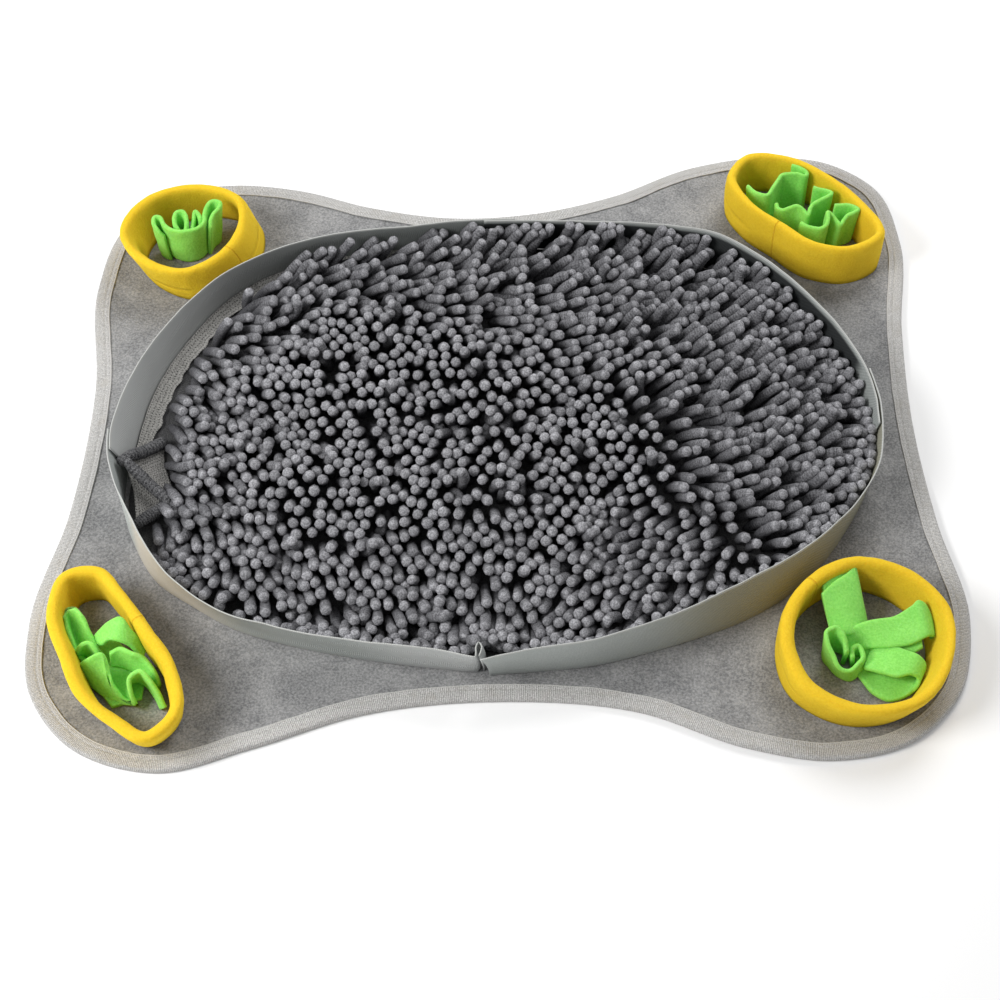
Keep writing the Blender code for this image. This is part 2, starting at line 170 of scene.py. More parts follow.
def slab(name, lines, thick):
    # a cloth of that thickness whose middle runs through a grid of points, with round edges
    along, across = np.gradient(lines, axis=0), np.gradient(lines, axis=1)
    normal = unit(np.cross(along, across))
    half = np.broadcast_to(np.asarray(thick) / 2.0, lines.shape[:2])[..., None]
    front, back = lines + normal * half, lines - normal * half
    section = [front]
    for edge, sign in ((-1, 1.0), (0, -1.0)):
        side = unit(across[:, edge])
        turns = [lines[:, edge] + half[:, edge] * (math.cos(turn) * normal[:, edge] * sign
                                                   + math.sin(turn) * side * sign)
                 for turn in np.radians([35, 90, 145])]
        section.append(np.stack(turns, axis=1))
        if sign > 0:
            section.append(back[:, ::-1])
    grid = np.concatenate(section, axis=1)
    flat = lengthsAlong(lines[len(lines) // 2])
    turn = np.full(3, flat[-1])
    v = np.concatenate([flat, turn, flat[::-1], turn * 0.0, [0.0]])
    return gridPiece(name, grid, lengthsAlong(lines[:, lines.shape[1] // 2]), v)


def flatCloth(name, edge, spacing, top, bottom):
    # a cloth cut along a closed edge: top and bottom give its faces' heights over the plan
    near = treeOf(edge)
    clear = spacing * 0.55
    spots = [spot for spot in lattice(edge, spacing) if near.find((*spot, 0))[2] > clear]
    plan, _, faces, *_ = geometry.delaunay_2d_cdt(
        [Vector(p) for p in [*edge, *spots]], [], [list(range(len(edge)))], 1, 1e-5)
    used = sorted({k for face in faces for k in face})
    place = {k: number for number, k in enumerate(used)}
    faces = [[place[k] for k in face] for face in faces]
    plan = np.array([plan[k] for k in used])
    inset = np.array([near.find((*p, 0))[2] for p in plan])
    points = np.vstack([np.column_stack([plan, top(plan, inset)]),
                        np.column_stack([plan, bottom(plan, inset)])])
    count = len(plan)
    sides = {(f[k], f[(k + 1) % 3]) for f in faces for k in range(3)}
    skirt = [[b, a, a + count, b + count] for a, b in sides if (b, a) not in sides]
    under = [[k + count for k in face[::-1]] for face in faces]
    return makePiece(name, points, faces + under + sorted(skirt))


def grains(name, centres, ways, length, width):
    # many small thread capsules: stitches and picots
    rings = np.array([(-1.0, 0.4), (-0.6, 0.92), (0.6, 0.92), (1.0, 0.4)])
    sides = 6
    turn = np.arange(sides) * 2 * math.pi / sides
    ways = unit(np.asarray(ways, dtype=float))
    side = unit(np.cross(ways, [0, 0, 1.0]))
    up = np.cross(side, ways)
    grid = (np.asarray(centres)[:, None, None, :]
            + ways[:, None, None, :] * rings[None, :, None, :1] * length / 2
            + (side[:, None, None, :] * np.cos(turn)[None, None, :, None]
               + up[:, None, None, :] * np.sin(turn)[None, None, :, None])
            * rings[None, :, None, 1:] * width / 2)
    faces, _, _ = gridFaces(len(rings), sides)
    block = len(rings) * sides
    caps = [list(range(sides)), [block - 1 - k for k in range(sides)]]
    everyFace = []
    for number in range(len(centres)):
        shift = number * block
        everyFace += (faces + shift).tolist()
        everyFace += [[k + shift for k in cap] for cap in caps]
    return makePiece(name, grid.reshape(-1, 3), everyFace)


def dress(piece, finish, slot, *nodes):  # nodes: those that the piece stands in for
    piece.data.materials.append(finish)
    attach(piece, "root")
    if nodes:
        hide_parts(*nodes)


class Wire:  # a socket that takes part in sums
    def __init__(self, board, socket):
        self.board, self.socket = board, socket

    def __add__(self, other):
        return self.board.maths("ADD", self, other)

    def __radd__(self, other):
        return self.board.maths("ADD", other, self)

    def __sub__(self, other):
        return self.board.maths("SUBTRACT", self, other)

    def __rsub__(self, other):
        return self.board.maths("SUBTRACT", other, self)

    def __mul__(self, other):
        return self.board.maths("MULTIPLY", self, other)

    def __rmul__(self, other):
        return self.board.maths("MULTIPLY", other, self)

    def __abs__(self):
        return self.board.maths("ABSOLUTE", self)

    def sine(self):
        return self.board.maths("SINE", self)

    def wave(self, pitch):  # from 0 to 1 and back in each pitch
        return (self * (2 * math.pi / pitch)).sine() * 0.5 + 0.5

    def above(self, low, high):  # 0 under low, 1 over high, smooth between
        return self.board.node("MapRange", {"interpolation_type": "SMOOTHSTEP", "clamp": True},
                               {0: self, 1: low, 2: high, 3: 0.0, 4: 1.0})


class Board:  # the nodes of one finish
    def __init__(self, name):
        self.made = bpy.data.materials.new(name)
        self.made.use_nodes = True
        self.tree = self.made.node_tree
        self.shader = self.tree.nodes["Principled BSDF"]

    def node(self, kind, settings=None, sockets=None, output=0):
        made = self.tree.nodes.new("ShaderNode" + kind)
        for key, value in (settings or {}).items():
            setattr(made, key, value)
        for key, value in (sockets or {}).items():
            self.feed(made.inputs[key], value)
        return Wire(self, made.outputs[output])

    def feed(self, socket, value):
        if isinstance(value, Wire):
            self.tree.links.new(value.socket, socket)
        else:
            socket.default_value = (*value, 1.0) if socket.type == "RGBA" else value

    def maths(self, operation, *values):
        return self.node("Math", {"operation": operation}, dict(enumerate(values)))

    def mix(self, share, a, b):
        return self.node("Mix", {"data_type": "RGBA", "clamp_factor": True},
                         {0: share, 6: a, 7: b}, 2)

    def cloth(self):  # mm along and across the flat cloth
        flat = self.node("SeparateXYZ", sockets={0: self.node("UVMap", {"uv_map": "cloth"})})
        return flat, Wire(self, flat.socket.node.outputs[1])

    def grain(self, size, detail=2.0, rough=0.5):  # noise with bumps of that size, in mm
        place = self.node("TexCoord", output=3)  # the piece's own coordinates, in metres
        return self.node("TexNoise", {"noise_dimensions": "3D"},
                         {"Vector": place, "Scale": 1 / (size * mm), "Detail": detail,
                          "Roughness": rough})

    def finish(self, colour, rough, reliefs, **still):
        normal = None
        for height, depth in reliefs:  # depth in mm
            sockets = {"Height": height, "Distance": depth * mm, "Strength": 1.0}
            if normal is not None:
                sockets["Normal"] = normal
            normal = self.node("Bump", sockets=sockets)
        self.feed(self.shader.inputs["Base Color"], colour)
        self.feed(self.shader.inputs["Roughness"], rough)
        self.feed(self.shader.inputs["Normal"], normal)
        for socket, value in still.items():
            self.feed(self.shader.inputs[socket.replace("_", " ")], value)
        return self.made


# In these, a grain is its size in mm, a relief is in mm, a share is of the mix between two
# colours, and a range is where something starts and is full.
feltLook = {
    "dark": (0.105, 0.108, 0.113), "light": (0.395, 0.393, 0.39), "rough": 0.94,
    "blotch": 22.0, "grain": 1.5, "range": (0.3, 0.7), "blotchShare": 0.26, "grainShare": 0.6,
    "leastShare": 0.08, "blotchRelief": 0.5, "grainRelief": 0.3,
}


def feltFinish():
    board, look = Board("felt"), feltLook
    blotch = board.grain(look["blotch"], 2.0)
    grain = board.grain(look["grain"], 3.0, rough=0.7)
    share = (blotch.above(*look["range"]) * look["blotchShare"]
             + grain.above(*look["range"]) * look["grainShare"] + look["leastShare"])
    return board.finish(board.mix(share, look["dark"], look["light"]), look["rough"],
                        [(grain, look["grainRelief"]), (blotch, look["blotchRelief"])],
                        Sheen_Weight=0.15, Sheen_Roughness=0.5, Specular_IOR_Level=0.15)


tapeLook = {
    "dark": (0.255, 0.25, 0.24), "light": (0.74, 0.73, 0.715), "stain": (0.38, 0.34, 0.28),
    "rough": 0.8, "rib": 1.15, "ribSway": 0.7, "ribShare": 0.5, "ribRelief": 0.28,
    "fine": 0.8, "fineRange": (0.3, 0.7), "fineShare": 0.5, "fineRelief": 0.12,
    "wear": 9.0, "wearRange": (0.5, 0.85), "wearShare": 0.3,
}


def tapeFinish():
    board, look = Board("grosgrain"), tapeLook
    along, _ = board.cloth()
    fine = board.grain(look["fine"])
    rib = (along + fine * look["ribSway"]).wave(look["rib"])
    wear = board.grain(look["wear"], 3.0)
    share = rib * look["ribShare"] + fine.above(*look["fineRange"]) * look["fineShare"]
    colour = board.mix(share, look["dark"], look["light"])
    colour = board.mix(wear.above(*look["wearRange"]) * look["wearShare"], colour, look["stain"])
    return board.finish(colour, look["rough"],
                        [(rib, look["ribRelief"]), (fine, look["fineRelief"])],
                        Specular_IOR_Level=0.25)


ribbonLook = {
    "dark": (0.22, 0.24, 0.232), "light": (0.44, 0.465, 0.45), "edge": (0.50, 0.51, 0.49),
    "rough": 0.62, "pitch": 1.35, "twillShare": 0.65, "twillRelief": 0.2, "swayTurn": 0.42,
    "fine": 0.8, "fineRange": (0.3, 0.7), "fineShare": 0.25, "fineRelief": 0.05,
    "wash": 30.0, "washShare": 0.1, "selvedge": (1.5, 0.9),  # mm below the top
    "slant": {"right": 0.9, "left": 0.25}, "sway": {"right": 0.0, "left": 1.1},
    # painted light and shade: how light each one is, its colour made lighter or darker for how the
    # light falls on it
    "shade": {"fence_front_right": 1.3, "fence_back_right": 0.95,
              "fence_back_left": 0.85, "fence_front_left": 1.3},
    # each one's tints, which are painted light: where they start, are full, start to fade and are
    # gone, mm from its start
    # painted light: pale where the ribbon is more brightly lit, warm and olive for yellow light
    # thrown off the rings
    "warm": (0.60, 0.545, 0.46), "olive": (0.27, 0.25, 0.16), "pale": (0.56, 0.57, 0.565),
    "tintShare": 0.7,
    "tints": {"fence_front_left": [("warm", 70.0, 92.0, 140.0, 190.0),
                                   ("pale", 250.0, 300.0, 900.0, 901.0)],
              "fence_back_right": [],
              "fence_back_left": [("pale", 110.0, 260.0, 900.0, 901.0)],
              "fence_front_right": [("olive", 95.0, 170.0, 900.0, 901.0)]},
    # painted shadow: one is painted dark on the side towards the pile, where the fingers shade it:
    # from where along it, and mm below its top
    "paintedShadowOn": "fence_back_right", "deep": (0.014, 0.016, 0.017), "paintedShadowShare": 0.97,
    "paintedShadowAlong": (44.0, 58.0), "paintedShadowBelow": (5.0, 1.8), "paintedShadowFacing": (-0.08, -0.03),
}


def ribbonFinish(name, width):
    board, look = Board("twill_" + name), ribbonLook
    hand = name.split("_")[-1]
    # painted light and shade: each ribbon's colours scaled by its own factor
    dark, light = (tuple(c * look["shade"][name] for c in look[key]) for key in ("dark", "light"))
    along, across = board.cloth()
    swayed = along + across * look["slant"][hand]
    if look["sway"][hand]:
        swayed = swayed + (across * look["swayTurn"]).sine() * look["sway"][hand]
    twill = swayed.wave(look["pitch"])
    fine, wash = board.grain(look["fine"]), board.grain(look["wash"])
    share = (twill * look["twillShare"] + fine.above(*look["fineRange"]) * look["fineShare"]
             + wash * look["washShare"])
    colour = board.mix(share, dark, light)
    # painted light: tints along each ribbon
    for tint, start, full, fading, gone in look["tints"][name]:
        share = along.above(start, full) * (1 - along.above(fading, gone))
        colour = board.mix(share * look["tintShare"], colour, look[tint])
    # painted shadow: the inner face of one ribbon darkened to near-black below its top few mm
    if name == look["paintedShadowOn"]:
        below, above = look["paintedShadowBelow"]
        share = along.above(*look["paintedShadowAlong"]) * (1 - across.above(width - below, width - above))
        facing, place = (board.node("NewGeometry", output=k) for k in (1, 0))
        outwards = board.node("VectorMath", {"operation": "DOT_PRODUCT"}, {0: facing, 1: place}, 1)
        inside = 1 - outwards.above(*look["paintedShadowFacing"])
        colour = board.mix(share * inside * look["paintedShadowShare"], colour, look["deep"])
    low, high = look["selvedge"]
    colour = board.mix(across.above(width - low, width - high), colour, look["edge"])
    return board.finish(colour, look["rough"],
                        [(twill, look["twillRelief"]), (fine, look["fineRelief"])],
                        Specular_IOR_Level=0.35)


pileLook = {
    # deep: the colour of the painted shade at the fingers' roots, also mixed in by each finger's
    # own tone
    "deep": (0.016, 0.016, 0.019), "tip": (0.53, 0.528, 0.555), "rough": 0.95,
    # mm up a finger: where its tip is, and where it gets lighter and by how much; this is painted
    # shade darkening each finger towards its root and painted light brightening its tip
    "tipRange": (27.0, 29.5), "paintedLightUp": [(11.0, 27.0, 0.36), (27.5, 30.5, 0.42)],
    "leastLight": 0.22, "plainShare": 0.26,
    "ridge": 1.8, "ridgeSway": 1.2, "ridgeShare": 0.26, "ridgeRelief": 0.3, "tipRidge": 0.75,
    "fleck": 1.05, "fleckRange": (0.38, 0.6), "fleckShare": 0.48, "fleckRelief": 0.35,
}


def pileFinish():
    board, look = Board("chenille"), pileLook
    _, up = board.cloth()
    tone = board.node("Attribute", {"attribute_name": "tone"}, output=2)
    onTip = up.above(*look["tipRange"])
    ridge = (up + board.grain(2.0, 1.0) * look["ridgeSway"]).wave(look["ridge"])
    ridge = ridge * (1 - onTip) + onTip * look["tipRidge"]
    fleck = board.grain(look["fleck"], 2.0, rough=0.7).above(*look["fleckRange"])
    # painted shade and light by height up the finger: dark near the root, lighter at the tip
    lower, upper = (up.above(low, high) * share for low, high, share in look["paintedLightUp"])
    paintedLit = lower + upper
    light = ridge * look["ridgeShare"] + fleck * look["fleckShare"] + look["plainShare"]
    colour = board.mix(light * (look["leastLight"] + paintedLit), look["deep"], look["tip"])
    colour = board.mix(tone, colour, look["deep"])
    return board.finish(colour, look["rough"],
                        [(ridge, look["ridgeRelief"]), (fleck, look["fleckRelief"])],
                        Sheen_Weight=0.1, Sheen_Roughness=0.5, Sheen_Tint=(0.8, 0.8, 0.85),
                        Specular_IOR_Level=0.1)


fleeceLook = {
    "rough": 0.95, "nap": 1.5, "napRange": (0.2, 0.8), "napShare": 0.6, "napRelief": 0.5,
    "cloud": 14.0, "cloudShare": 0.4, "cloudRelief": 0.8,
    # the seam: its edge in mm from its middle, and how far it strays
    "seamRange": (0.2, 0.8), "seamStray": 0.8, "seamShare": 0.5, "seamRelief": 0.35,
    # the fold line, the same, and where it shows
    "foldRange": (0.3, 3.2), "foldStray": 9.0, "foldShown": (0.42, 0.58), "foldShare": 0.25,
    "foldRelief": 0.7,
}


def fleeceFinish(name, dark, light, seam=None, seamAt=None, foldAt=None):
    board, look = Board(name), fleeceLook
    nap = board.grain(look["nap"], 4.0, rough=0.65)
    cloud = board.grain(look["cloud"], 3.0)
    share = nap.above(*look["napRange"]) * look["napShare"] + cloud * look["cloudShare"]
    colour = board.mix(share, dark, light)
    reliefs = [(nap, look["napRelief"]), (cloud, look["cloudRelief"])]
    if seam is not None:
        along, up = board.cloth()
        away = abs(along - seamAt + board.grain(5.0) * look["seamStray"])
        line = 1 - away.above(*look["seamRange"])
        colour = board.mix(line * look["seamShare"], colour, seam)
        reliefs.append((1 - line, look["seamRelief"]))
        away = abs(up - foldAt + (board.grain(40.0) - 0.5) * look["foldStray"])
        share = (1 - away.above(*look["foldRange"])) * board.grain(60.0).above(*look["foldShown"])
        colour = board.mix(share * look["foldShare"], colour, dark)
        reliefs.append((1 - share, look["foldRelief"]))
    return board.finish(colour, look["rough"], reliefs, Sheen_Weight=0.12, Sheen_Roughness=0.5,
                        Sheen_Tint=light, Specular_IOR_Level=0.1, Subsurface_Weight=0.3,
                        Subsurface_Radius=(1.0, 0.8, 0.3), Subsurface_Scale=0.004)


# each knit's dark and light yarn, its holes' colour and pitch, and how far they stray
knitLook = {
    # the backing is the edge's knit painted near-black: painted shade between the fingers
    "knitBackingPaintedShade": ((0.05, 0.05, 0.053), (0.12, 0.12, 0.12), (0.02, 0.02, 0.02), 2.2, 0.0),
    "knitEdge": ((0.20, 0.197, 0.187), (0.50, 0.49, 0.465), (0.06, 0.06, 0.06), 2.3, 0.5),
    "knitCorner": ((0.16, 0.157, 0.15), (0.44, 0.43, 0.41), (0.03, 0.03, 0.03), 2.0, 0.7),
    "rough": 0.9, "taller": 1.15, "stray": 3.0, "fine": 0.9, "fineRange": (0.25, 0.75),
    "holeRange": (0.62, 0.92), "holeRelief": 0.4, "fineRelief": 0.2,
}


def knitFinish(name):
    board, look = Board(name), knitLook
    dark, light, hole, pitch, loose = look[name]
    along, across = board.cloth()
    stray = (board.grain(3.0) - 0.5) * look["stray"] * loose
    cells = (along + stray).wave(pitch) * (across + stray).wave(pitch * look["taller"])
    fine = board.grain(look["fine"])
    colour = board.mix(fine.above(*look["fineRange"]), dark, light)
    colour = board.mix(cells.above(*look["holeRange"]), colour, hole)
    return board.finish(colour, look["rough"],
                        [(1 - cells, look["holeRelief"]), (fine, look["fineRelief"])],
                        Specular_IOR_Level=0.15)


rollLook = {
    "dark": (0.025, 0.025, 0.028), "light": (0.20, 0.20, 0.205), "rough": 0.95, "cord": 2.1,
    "cordSway": 1.6, "cordShare": 0.35, "cordRelief": 0.2, "fine": 0.9, "fineRange": (0.35, 0.65),
    "fineShare": 0.65, "fineRelief": 0.35,
}


def rollFinish():
    board, look = Board("rolledEdge"), rollLook
    _, up = board.cloth()
    cord = (up + board.grain(2.0, 1.0) * look["cordSway"]).wave(look["cord"])
    fine = board.grain(look["fine"]).above(*look["fineRange"])
    colour = board.mix(cord * look["cordShare"] + fine * look["fineShare"], look["dark"],
                       look["light"])
    return board.finish(colour, look["rough"],
                        [(cord, look["cordRelief"]), (fine, look["fineRelief"])],
                        Specular_IOR_Level=0.1)


# each thread's colour, and what they share
threadLook = {"paleThread": (0.50, 0.49, 0.46), "picotThread": (0.60, 0.59, 0.57),
              "rough": 0.7, "twist": 0.6, "darker": 0.7, "relief": 0.1}


def threadFinish(name):
    board, look = Board(name), threadLook
    twist = board.grain(look["twist"], 1.0)
    dark = tuple(look["darker"] * c for c in look[name])
    return board.finish(board.mix(twist, dark, look[name]), look["rough"],
                        [(twist, look["relief"])], Specular_IOR_Level=0.3)


felt = {
    "spacing": 4.87, "edgeSteps": 520, "calm": 6.0,
    "waves": [(46.0, 3.0, 0.35), (17.0, 9.0, 0.22)],  # bumps in mm, seed, height
    # creases: from x, y to x, y, height and half width
    "creases": [
        (92, -196, 96, -222, -0.7, 2.2), (150, -190, 165, -200, -0.6, 1.8),
        (187, -246, 172, -226, 0.6, 2.0), (266, -118, 279, -122, 0.7, 2.4),
        (-274, -70, -262, -66, -0.6, 2.0), (-160, -196, -140, -212, 0.5, 4.0),
        (262, 60, 280, 40, 0.6, 4.0), (120, 205, 150, 222, 0.5, 5.0),
    ],
}


def rimRise(inset):
    start = mat["tapeWidth"] + 1
    share = np.clip((start + mat["rimSlope"] - inset) / mat["rimSlope"], 0, 1)
    return mat["tapeLift"] * share * share * (3 - 2 * share)


def feltTop(plan, inset):
    rise = ripples(plan, felt["waves"])
    for x0, y0, x1, y1, height, half in felt["creases"]:
        start, way = np.array([x0, y0]), np.array([x1 - x0, y1 - y0], dtype=float)
        share = np.clip(((plan - start) @ way) / (way @ way), 0, 1)
        away = np.linalg.norm(plan - start - share[:, None] * way, axis=1)
        rise += height * np.exp(-(away / half) ** 2) * np.sin(math.pi * (0.15 + 0.7 * share))
    calm = np.clip((inset - mat["tapeWidth"]) / felt["calm"], 0, 1)
    return mat["felt"] + rimRise(inset + mat["tapeLift"]) + rise * calm


def makeBase():
    outline = curveThrough(mat["outline"], felt["edgeSteps"], closed=True)
    edge = outline - outward(outline) * mat["tapeLift"]
    base = flatCloth("felt_base", edge, felt["spacing"], feltTop,
                     lambda plan, inset: rimRise(inset + mat["tapeLift"]))
    dress(base, feltFinish(), "base_felt", "base")
    return base, edge


tape = {
    "steps": 900,
    # section: inset from the outline and height
    "section": [
        (12.0, 0.0), (6.0, 0.0), (1.4, 0.0), (0.5, 0.25), (0.12, 1.0), (0.0, 2.35),
        (0.12, 3.7), (0.55, 4.45), (1.5, 4.7), (3.5, 4.72), (5.6, 4.72), (6.6, 4.62),
        (7.1, 4.3), (7.6, 4.62), (8.7, 4.75), (9.8, 4.7), (10.3, 4.45), (10.2, 3.95),
        (6.0, 3.9), (1.4, 3.9), (0.95, 3.4), (0.85, 2.35), (0.95, 1.3), (1.4, 0.85),
        (6.0, 0.8), (11.9, 0.8),
    ],
    # each thread's name, then the pitch, inset, height, length and width of its grains
    "threads": {"stitches": ("paleThread", 3.1, 7.1, 4.4, 2.2, 0.55),
                "picots": ("picotThread", 2.35, 10.4, 4.3, 2.9, 1.25)},
    # bumps in mm, seed, depth; the upper layer alone puckers
    "pucker": [(9.0, 4.0, 0.22), (26.0, 7.0, 0.2)], "sway": [(22.0, 12.0, 0.45)],
    "upper": (3.9, 4.7), "outer": 4.0,
}


def makeBinding():
    outline = curveThrough(mat["outline"], tape["steps"], closed=True)
    normals = outward(outline)
    section = np.array(tape["section"])
    low, high = tape["upper"]
    inset = (section[None, :, 0] + ripples(outline, tape["sway"])[:, None]
             * (section[None, :, 0] / mat["tapeWidth"]) ** 2)
    lift = np.clip((section[:, 1] - low) / (high - low), 0, 1)
    lift = lift * np.clip(section[:, 0] / tape["outer"], 0, 1)
    height = section[None, :, 1] + ripples(outline, tape["pucker"])[:, None] * lift[None, :]
    grid = np.dstack([outline[:, None, :] - normals[:, None, :] * inset[..., None],
                      height[..., None]])
    length = lengthsAlong(outline, closed=True)
    binding = gridPiece("binding_tape", grid, length, lengthsAlong(section, closed=True),
                        around=True)
    dress(binding, tapeFinish(), "binding_tape", "binding")
    trims = []
    for name, (thread, pitch, inset, height, long, wide) in tape["threads"].items():
        spots = curveThrough(mat["outline"], round(length[-1] / pitch), closed=True)
        out = outward(spots)
        ways = np.column_stack([-out[:, 1], out[:, 0], np.zeros(len(out))])
        shift = inset + ripples(spots, tape["sway"]) * (inset / mat["tapeWidth"]) ** 2
        rise = height + ripples(spots, tape["pucker"])
        spots = np.column_stack([spots - out * shift[:, None], rise])
        trims.append(grains("binding_" + name, spots, ways, long, wide))
        dress(trims[-1], threadFinish(thread), "binding_tape")
    return binding, trims, length[-1]


ribbons = {
    "thick": 0.8, "bead": 0.85, "beside": 0.9, "beadDrop": 0.7, "flare": 1.5, "step": 2.2,
    "across": 9,
    # bumps in mm, seed, size: how it flutters, and how its top goes up and down
    "flutter": [(38.0, 5.0, 0.5), (13.0, 2.0, 0.18)], "lift": [(30.0, 8.0, 0.35)],
    # each ribbon, anticlockwise: foot x, foot y, top x, top y
    "fence_front_right": [
        (-9, -200.5, -14.8, -211.7), (2, -199.5, -2.6, -208.6), (20, -198.3, 22, -203.5),
        (58, -194, 56, -197), (88, -186, 86, -187), (119, -176, 117, -174),
        (151, -163, 148, -157), (182, -144, 180, -138), (207, -120, 208, -117),
        (229, -89, 234, -88), (246, -57, 250.8, -57), (253.5, -27, 256.6, -25),
        (255, -6, 257.5, -2), (252, 18, 254, 23),
    ],
    "fence_back_right": [
        (251, -20, 254.4, -26), (250.6, -2, 255.2, -1), (247, 22, 251.6, 24), (238, 50, 242, 53),
        (221, 84, 226, 85), (204, 110, 207, 113), (183, 133, 186, 136), (160, 152, 162, 155),
        (127, 165, 131, 164), (92, 172, 96, 168), (50, 176, 49, 170), (3, 177.5, 3, 171),
        (-9, 177.5, -9, 171),
    ],
    "fence_back_left": [
        (14, 178.9, 14, 172.4), (-3, 179.1, -3, 172.5), (-28, 177.8, -28, 171),
        (-60, 174.5, -60, 167), (-106, 168, -104, 161.5), (-146, 157, -141, 152),
        (-172, 144, -168, 139),
        (-196, 123, -196, 119), (-215, 95, -216, 95), (-231, 64, -236, 62), (-242, 32, -249, 31),
        (-247, 4, -257, -1), (-249.5, -20, -260, -24), (-250.5, -38, -259, -41),
    ],
    "fence_front_left": [
        (-252, -22, -262, -24), (-253, -44, -260, -46), (-250.5, -70, -252, -72),
        (-241, -97, -240, -98), (-224, -126, -225, -125), (-200, -145, -206, -150),
        (-168, -165, -174, -174), (-137, -176, -142, -185), (-96, -186, -101, -195),
        (-56, -193, -58, -201), (-34, -196, -36, -204.5), (-20, -197.5, -20.8, -208.7),
        (-16.6, -197.4, -17.9, -209.3), (-15, -195, -17.3, -206.5), (-14.8, -191, -17.5, -202),
        (-13, -188, -15.6, -198), (-11, -190.5, -13.6, -201), (-11.6, -194, -14.2, -205),
        (-12.6, -197, -15.5, -208.6),
    ],
}
# how many rows at each ribbon's start and end overlap its neighbour, and aren't in the oval
laps = {"fence_front_right": (2, 2), "fence_back_right": (1, 1), "fence_back_left": (2, 1),
        "fence_front_left": (2, 7)}


def makeFence():
    made = []
    for name in laps:
        rows = curveThrough(ribbons[name], 40)
        length = lengthsAlong(rows[:, 2:])[-1]
        rows = curveThrough(ribbons[name], round(length / ribbons["step"]))
        share = np.linspace(0, 1, ribbons["across"])[None, :, None]
        foot, top = rows[:, None, :2], rows[:, None, 2:]
        lines = foot + (top - foot) * share ** ribbons["flare"]
        out = np.stack([np.gradient(rows[:, 3]), -np.gradient(rows[:, 2])], axis=1)
        flutter = ripples(rows[:, 2:], ribbons["flutter"])
        lines = lines + unit(out)[:, None, :] * (flutter[:, None] * share[..., 0] ** 2)[..., None]
        tall = mat["fenceTop"] - ribbons["beadDrop"] - mat["fenceFoot"]
        height = mat["fenceFoot"] + tall * share[..., 0]
        lift = ripples(rows[:, 2:], ribbons["lift"])[:, None] * share[..., 0]
        lines = np.dstack([lines, (np.broadcast_to(height, lift.shape) + lift)[..., None]])
        thick = np.full(lines.shape[:2], ribbons["thick"])
        thick[:, -1] = ribbons["bead"]
        thick[:, -2] = ribbons["thick"] * ribbons["beside"]
        ribbon = slab(name.replace("fence", "ribbon"), lines, thick)
        width = lengthsAlong(lines[len(lines) // 2])[-1]
        dress(ribbon, ribbonFinish(name, width), "fence_ribbon", name)
        made.append(ribbon)
    return made


